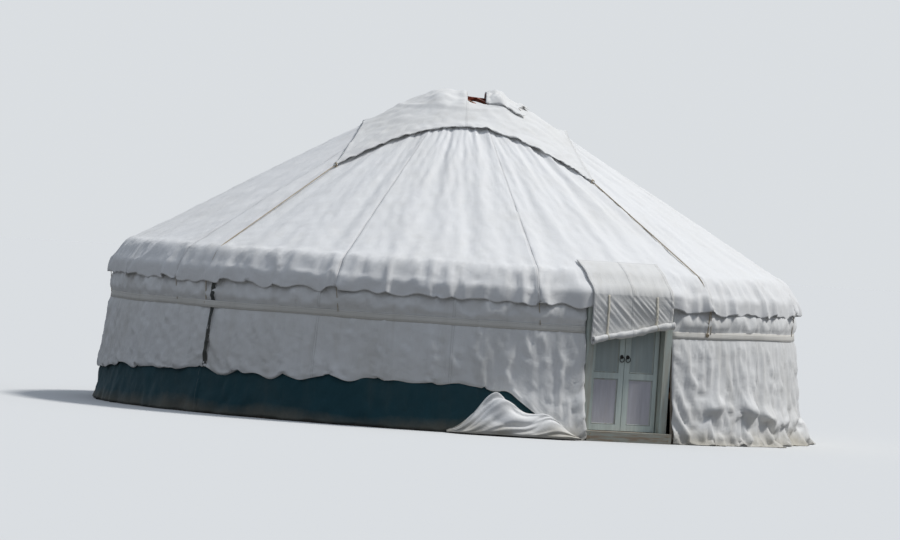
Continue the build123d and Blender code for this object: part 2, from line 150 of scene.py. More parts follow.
# The lattice wall. Crossed laths of willow, 22 mm thick where they cross, painted red ochre.
# Rawhide thongs are drawn through each crossing and knotted on the inside.
BASE_RADIUS = 3.75
WALL_HEIGHT = 1.48
WALL_LEAN = math.tan(math.radians(5.3))
COVER_THICKNESS = 0.025
LATTICE_THICKNESS = 0.022
BAYS = 44
BAY = 360 / BAYS
WALL_BAYS = 42
FIRST_BAY = 270 + BAY
MIDDLE_SHARE = math.cos(math.radians(BAY / 2))
LATTICE_ROWS = 3


def wall_radius(height, depth=0.0):
    """The wall's radius at a height, so far in from the cover's outer face."""
    return BASE_RADIUS - height * WALL_LEAN - depth


def chord(angle, radius):
    """The radius of a flat bay between two poles, whose corners are at that radius."""
    across = (np.asarray(angle) - FIRST_BAY) / BAY % 1.0 - 0.5
    return radius * MIDDLE_SHARE / np.cos(np.radians(across * BAY))


def around(angle, radius, height):
    """Points at angles about the tent's axis, in degrees."""
    a = np.radians(angle)
    return np.stack([radius * np.cos(a), radius * np.sin(a), height + 0 * radius * a], axis=-1)


def socket(group, name, way, kind, value=None):
    """A named socket on a node group."""
    made = group.interface.new_socket(name, in_out=way, socket_type=kind)
    if value is not None:
        made.default_value = value
    return made


def shader_group(name, inputs, outputs):
    """An empty shader group with its inputs and outputs, and its two end nodes."""
    group = bpy.data.node_groups.new(name, "ShaderNodeTree")
    for label, kind, value in inputs:
        socket(group, label, "INPUT", kind, value)
    for label, kind in outputs:
        socket(group, label, "OUTPUT", kind)
    return group, group.nodes.new("NodeGroupInput"), group.nodes.new("NodeGroupOutput")


def noise(tree, scale, detail, rough, vector):
    """A noise texture, read from a vector."""
    node = tree.nodes.new("ShaderNodeTexNoise")
    node.inputs["Scale"].default_value = scale
    node.inputs["Detail"].default_value = detail
    node.inputs["Roughness"].default_value = rough
    linked(tree, vector, node.inputs["Vector"])
    return node


def stretched(tree, vector, scale):
    """A vector scaled by three factors."""
    node = tree.nodes.new("ShaderNodeMapping")
    node.inputs["Scale"].default_value = scale
    linked(tree, vector, node.inputs["Vector"])
    return node.outputs[0]


def blended(tree, fac, first, second):
    """A colour mixed from two by an output; each may be a colour or an output."""
    node = tree.nodes.new("ShaderNodeMix")
    node.data_type = "RGBA"
    linked(tree, fac, node.inputs["Factor"])
    for value, target in ((first, node.inputs[6]), (second, node.inputs[7])):
        if hasattr(value, "is_linked"):
            linked(tree, value, target)
        else:
            target.default_value = (*value, 1)
    return node.outputs[2]


def spread(tree, value, low, high, first=0.0, last=1.0):
    """A value mapped from one range to another, and held at its ends."""
    node = tree.nodes.new("ShaderNodeMapRange")
    node.inputs["From Min"].default_value = low
    node.inputs["From Max"].default_value = high
    node.inputs["To Min"].default_value = first
    node.inputs["To Max"].default_value = last
    linked(tree, value, node.inputs["Value"])
    return node.outputs[0]


def combined(tree, how, first, second):
    """Two values put together; the second may be a number."""
    node = tree.nodes.new("ShaderNodeMath")
    node.operation = how
    linked(tree, first, node.inputs[0])
    if hasattr(second, "is_linked"):
        linked(tree, second, node.inputs[1])
    else:
        node.inputs[1].default_value = second
    return node.outputs[0]


# Paint on split wood: the colour is thin on the arrises and rubbed off in streaks.
painted, enter, leave = shader_group(
    "painted_wood",
    [("Paint", "NodeSocketColor", (0.4, 0.12, 0.06, 1)),
     ("Wood", "NodeSocketColor", (0.36, 0.24, 0.13, 1)),
     ("Wear", "NodeSocketFloat", 0.5),
     ("Grain", "NodeSocketVector", None)],
    [("Color", "NodeSocketColor"), ("Roughness", "NodeSocketFloat"), ("Height", "NodeSocketFloat")])
lines = noise(painted, 26, 5, 0.6, enter.outputs["Grain"])
blots = noise(painted, 5, 4, 0.6, enter.outputs["Grain"])
streak = spread(painted, lines.outputs["Fac"], 0.3, 0.7)
tone = blended(painted, streak, (0.6, 0.6, 0.6), (1.0, 1.0, 1.0))
shade = painted.nodes.new("ShaderNodeMix")
shade.data_type = "RGBA"
shade.blend_type = "MULTIPLY"
shade.inputs["Factor"].default_value = 0.55
linked(painted, enter.outputs["Paint"], shade.inputs[6])
linked(painted, tone, shade.inputs[7])
ridge = painted.nodes.new("ShaderNodeNewGeometry")
edges = spread(painted, ridge.outputs["Pointiness"], 0.50, 0.56)
worn = combined(painted, "ADD", edges, spread(painted, blots.outputs["Fac"], 0.55, 0.75))
worn = combined(painted, "MULTIPLY", worn, enter.outputs["Wear"])
worn = combined(painted, "MULTIPLY", worn, spread(painted, lines.outputs["Fac"], 0.35, 0.6))
bared = blended(painted, worn, shade.outputs[2], enter.outputs["Wood"])
linked(painted, bared, leave.inputs["Color"])
linked(painted, spread(painted, worn, 0, 1, 0.48, 0.85), leave.inputs["Roughness"])
linked(painted, lines.outputs["Fac"], leave.inputs["Height"])


def wood_finish(name, paint, wood, wear, grain):
    """Painted wood whose grain runs along the direction with the small factor."""
    finish = bpy.data.materials.new(name)
    finish.use_nodes = True
    tree = finish.node_tree
    bsdf = tree.nodes["Principled BSDF"]
    place = tree.nodes.new("ShaderNodeTexCoord")
    layer = tree.nodes.new("ShaderNodeGroup")
    layer.node_tree = painted
    layer.inputs["Paint"].default_value = (*paint, 1)
    layer.inputs["Wood"].default_value = (*wood, 1)
    layer.inputs["Wear"].default_value = wear
    linked(tree, stretched(tree, place.outputs["Object"], grain), layer.inputs["Grain"])
    linked(tree, layer.outputs["Color"], bsdf.inputs["Base Color"])
    linked(tree, layer.outputs["Roughness"], bsdf.inputs["Roughness"])
    relief = tree.nodes.new("ShaderNodeBump")
    relief.inputs["Distance"].default_value = 0.0015
    relief.inputs["Strength"].default_value = 0.6
    linked(tree, layer.outputs["Height"], relief.inputs["Height"])
    linked(tree, relief.outputs[0], bsdf.inputs["Normal"])
    bsdf.inputs["Specular IOR Level"].default_value = 0.35
    return finish


def dress(node, finish):
    """Give a CAD node's slots a finish."""
    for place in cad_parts[node].material_slots:
        place.material = finish


BARE_WILLOW = (0.34, 0.22, 0.12)
lath_finish = wood_finish(
    "lath_wood", (0.40, 0.105, 0.05), BARE_WILLOW, wear=0.8, grain=(1.5, 1.5, 0.25))
for section in range(1, 7):
    dress(f"lattice_{section}", lath_finish)

knot_spots = []
row_height = WALL_HEIGHT / LATTICE_ROWS
for bay in range(WALL_BAYS):
    for row in range(LATTICE_ROWS):
        knot_spots.append((FIRST_BAY + (bay + 0.5) * BAY, (row + 0.5) * row_height, MIDDLE_SHARE))
    for row in range(1, LATTICE_ROWS):
        if bay:
            knot_spots.append((FIRST_BAY + bay * BAY, row * row_height, 1.0))
KNOT_DEPTH = COVER_THICKNESS + LATTICE_THICKNESS + 0.001
knot_points = [
    around(angle, wall_radius(height, KNOT_DEPTH) * share, height)
    for angle, height, share in knot_spots
]


def repeated(name, points, shape, finish):
    """A plain mesh of one small shape set on every point, turned to face the tent's axis."""
    cloud = bpy.data.meshes.new(name + "_points")
    cloud.from_pydata([tuple(p) for p in points], [], [])
    holder = bpy.data.objects.new(name, cloud)
    bpy.context.scene.collection.objects.link(holder)
    tree = bpy.data.node_groups.new(name, "GeometryNodeTree")
    socket(tree, "Geometry", "INPUT", "NodeSocketGeometry")
    size = socket(tree, "Size", "INPUT", "NodeSocketFloat", 1.0)
    seed = socket(tree, "Seed", "INPUT", "NodeSocketInt", 3)
    what = socket(tree, "Shape", "INPUT", "NodeSocketObject")
    paint = socket(tree, "Finish", "INPUT", "NodeSocketMaterial")
    socket(tree, "Geometry", "OUTPUT", "NodeSocketGeometry")
    start, end = tree.nodes.new("NodeGroupInput"), tree.nodes.new("NodeGroupOutput")
    info = tree.nodes.new("GeometryNodeObjectInfo")
    linked(tree, start.outputs["Shape"], info.inputs["Object"])
    place = tree.nodes.new("GeometryNodeInputPosition")
    flat = tree.nodes.new("ShaderNodeVectorMath")
    flat.operation = "MULTIPLY"
    flat.inputs[1].default_value = (1, 1, 0)
    linked(tree, place.outputs[0], flat.inputs[0])
    turned = tree.nodes.new("FunctionNodeAlignRotationToVector")
    turned.axis = "X"
    turned.pivot_axis = "Z"
    linked(tree, flat.outputs[0], turned.inputs["Vector"])
    varied = tree.nodes.new("FunctionNodeRandomValue")
    varied.data_type = "FLOAT"
    varied.inputs[2].default_value = 0.85
    varied.inputs[3].default_value = 1.15
    linked(tree, start.outputs["Seed"], varied.inputs["Seed"])
    scale = tree.nodes.new("ShaderNodeMath")
    scale.operation = "MULTIPLY"
    linked(tree, varied.outputs[1], scale.inputs[0])
    linked(tree, start.outputs["Size"], scale.inputs[1])
    setting = tree.nodes.new("GeometryNodeInstanceOnPoints")
    linked(tree, start.outputs["Geometry"], setting.inputs["Points"])
    linked(tree, info.outputs["Geometry"], setting.inputs["Instance"])
    linked(tree, turned.outputs[0], setting.inputs["Rotation"])
    linked(tree, scale.outputs[0], setting.inputs["Scale"])
    real = tree.nodes.new("GeometryNodeRealizeInstances")
    colour = tree.nodes.new("GeometryNodeSetMaterial")
    linked(tree, start.outputs["Finish"], colour.inputs["Material"])
    linked(tree, setting.outputs[0], real.inputs[0])
    linked(tree, real.outputs[0], colour.inputs["Geometry"])
    linked(tree, colour.outputs[0], end.inputs[0])
    modifier = holder.modifiers.new(name, "NODES")
    modifier.node_group = tree
    modifier[size.identifier] = 1.0
    modifier[seed.identifier] = 3
    modifier[what.identifier] = shape
    modifier[paint.identifier] = finish
    bpy.context.view_layer.update()
    ready = holder.evaluated_get(bpy.context.evaluated_depsgraph_get())
    mesh = bpy.data.meshes.new_from_object(ready)
    made = bpy.data.objects.new(name, mesh)
    bpy.data.objects.remove(holder)
    bpy.data.objects.remove(shape)
    bpy.context.scene.collection.objects.link(made)
    made.name = name
    return made


def closed_mesh(name, points, faces, finish=None, smooth=True):
    """A mesh object from points and faces, its normals made to point outwards."""
    mesh = bpy.data.meshes.new(name)
    mesh.from_pydata([tuple(map(float, p)) for p in points], [], faces)
    made = bpy.data.objects.new(name, mesh)
    bpy.context.scene.collection.objects.link(made)
    work = bmesh.new()
    work.from_mesh(mesh)
    bmesh.ops.remove_doubles(work, verts=work.verts, dist=1e-6)
    bmesh.ops.recalc_face_normals(work, faces=work.faces)
    work.to_mesh(mesh)
    work.free()
    if smooth:
        mesh.polygons.foreach_set("use_smooth", [True] * len(mesh.polygons))
    if finish:
        mesh.materials.append(finish)
    return made


def tube(points, radius, sides, closed=False, flat=(0, 0, 1)):
    """The points and faces of a tube along a line, which is a loop or has its ends closed."""
    line = np.asarray(points, float)
    if closed:
        ahead = np.roll(line, -1, axis=0) - np.roll(line, 1, axis=0)
    else:
        ahead = np.gradient(line, axis=0)
    ahead /= np.linalg.norm(ahead, axis=1)[:, None]
    up = np.broadcast_to(np.asarray(flat, float), line.shape).copy()
    side = np.cross(ahead, up)
    weak = np.linalg.norm(side, axis=1) < 1e-3
    side[weak] = np.cross(ahead[weak], (1.0, 0.02, 0.0))
    side /= np.linalg.norm(side, axis=1)[:, None]
    up = np.cross(side, ahead)
    radius = np.broadcast_to(np.asarray(radius, float), (len(line),))[:, None]
    rings = []
    for k in range(sides):
        a = 2 * math.pi * k / sides
        rings.append(line + side * radius * math.cos(a) + up * radius * math.sin(a))
    grid = np.stack(rings, axis=1)
    spots = grid.reshape(-1, 3).tolist()
    faces = []
    count = len(line)
    for i in range(count if closed else count - 1):
        j = (i + 1) % count
        for k in range(sides):
            m = (k + 1) % sides
            faces.append((i * sides + k, i * sides + m, j * sides + m, j * sides + k))
    if not closed:
        faces.append(tuple(range(sides))[::-1])
        faces.append(tuple((count - 1) * sides + k for k in range(sides)))
    return spots, faces


def joined(pieces):
    """Several (points, faces) put into one."""
    spots, faces = [], []
    for some, more in pieces:
        start = len(spots)
        spots.extend(some)
        faces.extend(tuple(start + i for i in face) for face in more)
    return spots, faces


def plain_finish(name, colour, rough, mottle=0.25, scale=18.0, metal=0.0, bump=0.0008):
    """A finish with a mottled colour and a fine relief."""
    finish = bpy.data.materials.new(name)
    finish.use_nodes = True
    tree = finish.node_tree
    bsdf = tree.nodes["Principled BSDF"]
    place = tree.nodes.new("ShaderNodeTexCoord")
    blots = noise(tree, scale, 5, 0.6, place.outputs["Object"])
    dark = tuple(c * (1 - mottle) for c in colour)
    pale = tuple(min(1.0, c * (1 + mottle * 0.6)) for c in colour)
    amount = spread(tree, blots.outputs["Fac"], 0.3, 0.7)
    linked(tree, blended(tree, amount, dark, pale), bsdf.inputs["Base Color"])
    sheen = spread(tree, amount, 0, 1, rough - 0.08, min(1.0, rough + 0.08))
    linked(tree, sheen, bsdf.inputs["Roughness"])
    bsdf.inputs["Metallic"].default_value = metal
    fine = noise(tree, scale * 12, 3, 0.6, place.outputs["Object"])
    relief = tree.nodes.new("ShaderNodeBump")
    relief.inputs["Distance"].default_value = bump
    linked(tree, fine.outputs["Fac"], relief.inputs["Height"])
    linked(tree, relief.outputs[0], bsdf.inputs["Normal"])
    return finish


rawhide = plain_finish("rawhide", (0.30, 0.20, 0.11), rough=0.7)
thong = [
    (-0.004 + 0.010 * math.sin(a) * 0.4, 0.011 * math.cos(a), 0.011 * math.sin(a))
    for a in np.linspace(0, 2 * math.pi, 7)[:-1]
]
tail = [(-0.004, 0.0, 0.0), (-0.009, 0.004, -0.010), (-0.010, 0.006, -0.028)]
knot = closed_mesh("knot", *joined([
    tube(thong, 0.0045, 5, closed=True),
    tube(tail, (0.004, 0.0035, 0.002), 5),
]))
lattice_knots = repeated("lattice_knots", knot_points, knot, rawhide)
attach(lattice_knots, "tent")


# The door frame. Planks of larch, 110 mm deep, pegged at the corners and painted a pale green
# that has faded; the threshold and the lintel are a darker green and more worn.
FRAME_FRONT = -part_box("door_lintel")[0].y
DOOR_HALF_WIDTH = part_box("door_lintel")[1].x
LINTEL_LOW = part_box("door_lintel")[0].z
FRAME_PAINT = (0.64, 0.73, 0.68)
SILL_PAINT = (0.46, 0.54, 0.50)
frame_finish = wood_finish(
    "door_frame_paint", FRAME_PAINT, (0.33, 0.27, 0.20), wear=0.55, grain=(1, 1, 0.1))
sill_finish = wood_finish(
    "threshold_paint", SILL_PAINT, (0.30, 0.24, 0.18), wear=1.0, grain=(0.1, 1, 1))
for piece in ("door_jamb_left", "door_jamb_right"):
    dress(piece, frame_finish)
for piece in ("door_threshold", "door_lintel"):
    dress(piece, sill_finish)

peg_finish = plain_finish("pegs", (0.38, 0.30, 0.20), rough=0.6)
PEG_RADIUS = 0.009
PEG_SIDES = 8
peg_turns = np.linspace(0, 2 * math.pi, PEG_SIDES + 1)[:-1]
peg_parts = []
for side in (-1, 1):
    for height in (LINTEL_LOW + 0.030, LINTEL_LOW + 0.068, 0.035, 0.075):
        across = side * (DOOR_HALF_WIDTH - 0.042)
        out_face = FRAME_FRONT if height > 1 else -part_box("door_threshold")[0].y
        ring = [(PEG_RADIUS * math.cos(a), PEG_RADIUS * math.sin(a)) for a in peg_turns]
        spots = [(across + x, -out_face + 0.006, height + z) for x, z in ring]
        spots += [(across + 0.8 * x, -out_face - 0.0025, height + 0.8 * z) for x, z in ring]
        faces = []
        for k in range(PEG_SIDES):
            m = (k + 1) % PEG_SIDES
            faces.append((k, m, PEG_SIDES + m, PEG_SIDES + k))
        faces += [tuple(range(PEG_SIDES))[::-1], tuple(range(PEG_SIDES, 2 * PEG_SIDES))]
        peg_parts.append((spots, faces))
door_pegs = closed_mesh("door_pegs", *joined(peg_parts), peg_finish, smooth=False)
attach(door_pegs, "tent")


# The door leaves. Framed leaves whose pins turn in the threshold and the lintel; pale stiles
# and rails, green grey upper panels and pale lilac lower ones, a small bead round each panel.
LEAF_BACK, LEAF_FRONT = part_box("door_leaf_left")[1].y, -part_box("door_leaf_left")[0].y
PIVOT_RADIUS = 0.018
PIVOT_ASIDE = -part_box("door_leaf_left")[0].x - PIVOT_RADIUS
LEAF_LOW = 0.106
STILE = 0.062
MIDDLE_RAIL = 0.560
PANEL_OUTER = PIVOT_ASIDE + PIVOT_RADIUS - STILE
PANEL_INNER = 0.003 + STILE
PANEL_ROWS = (
    (STILE, MIDDLE_RAIL - STILE / 2),
    (MIDDLE_RAIL + STILE / 2, LINTEL_LOW - 0.006 - LEAF_LOW - STILE),
)
STILE_PAINT = (0.66, 0.74, 0.70)
LOWER_PANEL_PAINT = (0.60, 0.59, 0.64)
UPPER_PANEL_PAINT = (0.42, 0.48, 0.47)
BARE_LARCH = (0.34, 0.28, 0.20)
leaf_finish = wood_finish("door_leaf_paint", STILE_PAINT, BARE_LARCH, wear=0.55, grain=(1, 1, 0.1))
tree = leaf_finish.node_tree
place = tree.nodes.new("ShaderNodeTexCoord")
split = tree.nodes.new("ShaderNodeSeparateXYZ")
linked(tree, place.outputs["Object"], split.inputs[0])
aside = combined(tree, "ABSOLUTE", split.outputs["X"], 0.0)


def between(tree, value, low, high):
    """One where a value lies between two numbers, with a soft edge of 2 mm."""
    rise = spread(tree, value, low - 0.001, low + 0.001)
    return combined(tree, "MULTIPLY", rise, spread(tree, value, high - 0.001, high + 0.001, 1, 0))


within = between(tree, aside, PANEL_INNER, PANEL_OUTER)
panels = []
for low, high in PANEL_ROWS:
    row = between(tree, split.outputs["Z"], LEAF_LOW + low, LEAF_LOW + high)
    panels.append(combined(tree, "MULTIPLY", within, row))
lower, upper = panels
layer = next(n for n in tree.nodes if n.type == "GROUP")
paint = blended(tree, lower, STILE_PAINT, LOWER_PANEL_PAINT)
linked(tree, blended(tree, upper, paint, UPPER_PANEL_PAINT), layer.inputs["Paint"])
for leaf in ("door_leaf_left", "door_leaf_right"):
    dress(leaf, leaf_finish)

bead_finish = wood_finish("bead_paint", (0.68, 0.75, 0.71), BARE_LARCH, wear=0.5, grain=(1, 1, 0.2))
iron = plain_finish("old_iron", (0.045, 0.042, 0.040), rough=0.55, mottle=0.35, scale=30, metal=0.85)


def panel_beads(side):
    """A half-round bead round both panels, on both faces of one leaf."""
    parts = []
    for low, high in PANEL_ROWS:
        for face in (-LEAF_FRONT + 0.010, LEAF_BACK - 0.010):
            near, far = side * (PANEL_INNER + 0.006), side * (PANEL_OUTER - 0.006)
            bottom, top = LEAF_LOW + low + 0.006, LEAF_LOW + high - 0.006
            corners = [(near, bottom), (far, bottom), (far, top), (near, top)]
            loop = []
            for (x0, z0), (x1, z1) in zip(corners, corners[1:] + corners[:1]):
                for t in (0.02, 0.5, 0.98):
                    loop.append((x0 + (x1 - x0) * t, face, z0 + (z1 - z0) * t))
            parts.append(tube(loop, 0.0055, 6, closed=True, flat=(0, 1, 0)))
    return joined(parts)


PULL_ASIDE = 0.036
PULL_HEIGHT = 0.86
PULL_RING = 0.026
PULL_SIDES = 24


def door_pull(side):
    """A ring on a staple through a round plate, beside the meeting stiles."""
    across, height, face = side * PULL_ASIDE, PULL_HEIGHT, -LEAF_FRONT
    turns = np.linspace(0, 2 * math.pi, PULL_SIDES + 1)[:-1]
    ring = [
        (across + PULL_RING * math.sin(a), face - 0.014 - 0.003 * math.cos(a),
         height - 0.024 + PULL_RING * math.cos(a))
        for a in turns
    ]
    bend = ((0.004, 0.010), (-0.016, 0.009), (-0.020, 0.002), (-0.016, -0.005), (0.004, -0.006))
    staple = [(across, face + depth, height + up) for depth, up in bend]
    spots, faces = [], []
    for depth, size in ((0.002, 0.021), (-0.002, 0.021), (-0.004, 0.017)):
        spots += [
            (across + size * math.cos(a), face + depth, height + 0.002 + size * math.sin(a))
            for a in turns
        ]
    for low in (0, PULL_SIDES):
        high = low + PULL_SIDES
        for k in range(PULL_SIDES):
            m = (k + 1) % PULL_SIDES
            faces.append((low + k, low + m, high + m, high + k))
    faces += [tuple(range(PULL_SIDES))[::-1], tuple(range(2 * PULL_SIDES, 3 * PULL_SIDES))]
    return joined([
        tube(ring, 0.0042, 8, closed=True, flat=(0, 1, 0)),
        tube(staple, 0.0036, 6),
        (spots, faces),
    ])


for side, body in ((-1, "left_leaf"), (1, "right_leaf")):
    beads = closed_mesh(f"{body}_beads", *panel_beads(side), bead_finish)
    pull = closed_mesh(f"{body}_pull", *door_pull(side), iron)
    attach(beads, body)
    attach(pull, body)


# The crown. A ring of steamed birch, mortised for the poles, and crossed bars bent to a low
# dome over it, all painted red and worn through in places to wood that smoke has darkened.
SMOKED_WOOD = (0.20, 0.12, 0.07)
crown_finish = wood_finish(
    "crown_wood", (0.36, 0.075, 0.04), SMOKED_WOOD, wear=0.7, grain=(0.6, 0.6, 0.6))
for piece in ("crown_ring", "crown_bars"):
    dress(piece, crown_finish)


# The roof poles. Forty-four willow poles, bent near the foot, lashed to the lattice with cord
# and pushed into the ring's mortises; painted red and worn through to bare willow in places.
pole_finish = wood_finish(
    "pole_wood", (0.38, 0.085, 0.045), BARE_WILLOW, wear=0.75, grain=(0.6, 0.6, 0.6))
for bundle in range(1, 5):
    dress(f"roof_poles_{bundle}", pole_finish)

cord_finish = plain_finish("lashing", (0.52, 0.44, 0.32), rough=0.9, mottle=0.3, scale=60)
POLE_FOOT = wall_radius(WALL_HEIGHT, COVER_THICKNESS + LATTICE_THICKNESS / 2)
FOOT_SLOPE = math.radians(70)
windings = []
for turn in range(4):
    up = 0.012 + turn * 0.011
    loop = []
    for a in np.linspace(0, 2 * math.pi, 13)[:-1]:
        x = 0.022 * np.sign(math.cos(a)) * abs(math.cos(a)) ** 0.5
        y = 0.021 * np.sign(math.sin(a)) * abs(math.sin(a)) ** 0.5
        loop.append((
            x * math.sin(FOOT_SLOPE) - up * math.cos(FOOT_SLOPE),
            y,
            up * math.sin(FOOT_SLOPE) + x * math.cos(FOOT_SLOPE),
        ))
    windings.append(tube(loop, 0.0052, 5, closed=True))
lashing = closed_mesh("lashing", *joined(windings))
foot_points = [around(FIRST_BAY + bay * BAY, POLE_FOOT, WALL_HEIGHT + 0.004) for bay in range(BAYS)]
pole_lashings = repeated("pole_lashings", foot_points, lashing, cord_finish)
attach(pole_lashings, "tent")


# The felt. Brown and grey sheep's felt, 10 mm thick, laid on the laths and on the poles under
# the canvas; from inside it shows between them.
def swells(angle, along, seed, wide, tall, count=30):
    """Random smooth swells that close round the tent, with their usual size across and along."""
    dice = np.random.default_rng(seed)
    total = np.zeros(np.broadcast(angle, along).shape)
    for _ in range(count):
        turns = round(dice.normal() * 23.2 / wide)
        rise = dice.normal() / tall
        total += np.cos(np.radians(angle * turns) + 2 * math.pi * (along * rise + dice.random()))
    return total * math.sqrt(2 / count)


def eased(value, low, high):
    """A smooth step from nought to one between two values."""
    t = np.clip((value - low) / (high - low), 0, 1)
    return t * t * (3 - 2 * t)


def cloth(name, grid, size, finish=None, crowd=1.0):
    """A cloth from a grid of points, rows upwards and columns leftwards seen from inside; size
    is its flat width and height, which its own map keeps in metres."""
    rows, columns = grid.shape[:2]
    mesh = bpy.data.meshes.new(name)
    number = np.arange(rows * columns).reshape(rows, columns)
    faces = np.stack([number[:-1, :-1], number[:-1, 1:], number[1:, 1:], number[1:, :-1]], axis=-1)
    mesh.from_pydata(grid.reshape(-1, 3).tolist(), [], faces.reshape(-1, 4).tolist())
    levels = size[1] * np.linspace(0, 1, rows) ** crowd
    across, up = np.meshgrid(np.linspace(0, size[0], columns), levels)
    flat = np.stack([across.ravel(), up.ravel()], axis=-1)
    chart = mesh.uv_layers.new(name="cloth")
    used = np.empty(len(mesh.loops), np.int32)
    mesh.loops.foreach_get("vertex_index", used)
    chart.data.foreach_set("uv", flat[used].ravel())
    mesh.polygons.foreach_set("use_smooth", [True] * len(mesh.polygons))
    if finish:
        mesh.materials.append(finish)
    made = bpy.data.objects.new(name, mesh)
    bpy.context.scene.collection.objects.link(made)
    return made


def thickened(made, thickness):
    """Cloth with a real thickness, on its inner side."""
    solid = made.modifiers.new("thickness", "SOLIDIFY")
    solid.thickness = thickness
    solid.offset = -1
    return made


ROOF_SLOPE = math.radians(30)
POLE_DEPTH = 0.032
FOOT_LENGTH = 0.060
BEND_RADIUS = 0.320
CROWN_RADIUS = 0.720
RIDGE_LIFT = 0.015 * math.tan(math.radians(BAY / 2)) + 0.0003


def roof_profile(lift):
    """The roof's line of (radius, height) from its hem to its top edge, so far outside the
    poles: the steep feet, the bend and the straight slope."""
    rise = POLE_DEPTH / 2 + RIDGE_LIFT + lift
    x = POLE_FOOT - FOOT_LENGTH * math.cos(FOOT_SLOPE) - BEND_RADIUS * math.sin(FOOT_SLOPE)
    z = WALL_HEIGHT + FOOT_LENGTH * math.sin(FOOT_SLOPE) - BEND_RADIUS * math.cos(FOOT_SLOPE)
    line = [(wall_radius(h, -0.004) + lift, h) for h in np.linspace(1.375, 1.4925, 5)]
    reach = BEND_RADIUS + rise
    for a in np.linspace(FOOT_SLOPE, ROOF_SLOPE, 9):
        line.append((x + reach * math.sin(a), z + reach * math.cos(a)))
    end = CROWN_RADIUS + 0.025
    line.append((end, line[-1][1] + (line[-1][0] - end) * math.tan(ROOF_SLOPE)))
    return np.array(line)


def walked(line, count, crowd=1.0):
    """A line resampled to so many points, and their distances from its start; a crowd over
    one puts more of them near the start."""
    steps = np.concatenate([[0], np.cumsum(np.hypot(*np.diff(line, axis=0).T))])
    at = steps[-1] * np.linspace(0, 1, count) ** crowd
    return np.stack([np.interp(at, steps, line[:, k]) for k in (0, 1)], axis=-1), at


WALL_STRIPS = 5
WALL_LIMITS = [round(WALL_BAYS * i / WALL_STRIPS) for i in range(WALL_STRIPS + 1)]
SKIRT_STRIPS = (4, 5)
BAY_CLOTH = 0.535
HEM_MIDDLE = 195
HEM_AT_MIDDLE = 0.470
HEM_AT_DOOR = 0.300
DRAWN_UP = 0.150


def bay_angle(bay):
    """The angle of the start of a bay, counted from the right side of the door."""
    return FIRST_BAY + bay * BAY


def hem_height(angle):
    """The height of the hem over the skirt, which is drawn up towards the door."""
    turn = math.cos(math.radians(bay_angle(WALL_BAYS) - 360 - HEM_MIDDLE))
    swing = (HEM_AT_MIDDLE - HEM_AT_DOOR) / (1 - turn)
    drawn_up = DRAWN_UP * eased(np.asarray(angle) % 360, 200, 250)
    arc = swing * np.cos(np.radians(np.asarray(angle) - HEM_MIDDLE)) * 0.985
    return HEM_AT_MIDDLE - swing + arc + drawn_up


felt_finish = plain_finish("felt", (0.36, 0.31, 0.255), rough=0.97, mottle=0.35, scale=7, bump=0.004)
for strip in range(WALL_STRIPS):
    first, last = bay_angle(WALL_LIMITS[strip]), bay_angle(WALL_LIMITS[strip + 1])
    angle, height = np.meshgrid(np.linspace(first, last, 60), np.linspace(-0.0015, 1.485, 24))
    radius = chord(angle, wall_radius(height, 0.0125)) + 0.0015 * swells(angle, height, 5, 0.3, 0.3)
    size = (BAY_CLOTH * (last - first) / BAY, WALL_HEIGHT)
    felt = cloth(f"wall_felt_{strip + 1}", around(angle, radius, height), size, felt_finish)
    thickened(felt, 0.010)
    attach(felt, "tent")


def roof_sag(angle, along, whole):
    """How far the covers sink between two poles, along the roof's slope from its hem."""
    across = (np.asarray(angle) - FIRST_BAY) / BAY % 1.0
    depth = 0.011 + 0.004 * swells(angle, along, 61, 0.9, 2.5)
    sink = -depth * np.sin(np.pi * across) ** 2
    return sink * eased(along, 0.22, 0.9) * eased(whole - along, 0.05, 0.8)


FELT_FOOT = 1.488
FELT_OVER_LINTEL = 3.672
line, along = walked(roof_profile(0.008), 48, 1.25)
line, along = line[line[:, 1] > FELT_FOOT], along[line[:, 1] > FELT_FOOT]
felt_length = along[-1] - along[0]
for part in range(4):
    angle, step = np.meshgrid(np.linspace(90 * part, 90 * part + 90, 67), np.arange(len(line)))
    sink = roof_sag(angle, along[step], along[-1])
    radius = chord(angle, line[step, 0]) + math.sin(ROOF_SLOPE) * sink
    height = line[step, 1] + math.cos(ROOF_SLOPE) * sink
    over_door = (np.abs(radius * np.cos(np.radians(angle))) < 0.60) & (angle > 180)
    radius = np.where(over_door & (height < 1.50), np.maximum(radius, FELT_OVER_LINTEL), radius)
    shape = around(angle, radius, height)
    felt = cloth(f"roof_felt_{part + 1}", shape, (3.6, felt_length), felt_finish)
    thickened(felt, 0.0075)
    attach(felt, "tent")


# The skirt. A strip of dark green canvas round the foot on the side left of the door, that
# keeps the draught out; its lower edge lies loose and is dusty.
canvas, enter, leave = shader_group(
    "canvas",
    [("Cloth", "NodeSocketColor", (0.8, 0.8, 0.78, 1)),
     ("Stain", "NodeSocketColor", (0.5, 0.45, 0.36, 1)),
     ("Dirt", "NodeSocketFloat", 0.5),
     ("Foot", "NodeSocketFloat", 0.25),
     ("Place", "NodeSocketVector", None),
     ("Map", "NodeSocketVector", None)],
    [("Color", "NodeSocketColor"),
     ("Roughness", "NodeSocketFloat"),
     ("Height", "NodeSocketFloat"),
     ("Weave", "NodeSocketFloat")])
clouds = noise(canvas, 1.3, 5, 0.62, enter.outputs["Place"])
streaks = noise(canvas, 2.2, 4, 0.6, stretched(canvas, enter.outputs["Place"], (3.2, 3.2, 0.35)))
specks = noise(canvas, 38, 4, 0.7, enter.outputs["Place"])
level = canvas.nodes.new("ShaderNodeSeparateXYZ")
linked(canvas, enter.outputs["Place"], level.inputs[0])
ragged = combined(canvas, "MULTIPLY_ADD", clouds.outputs["Fac"], -0.35)
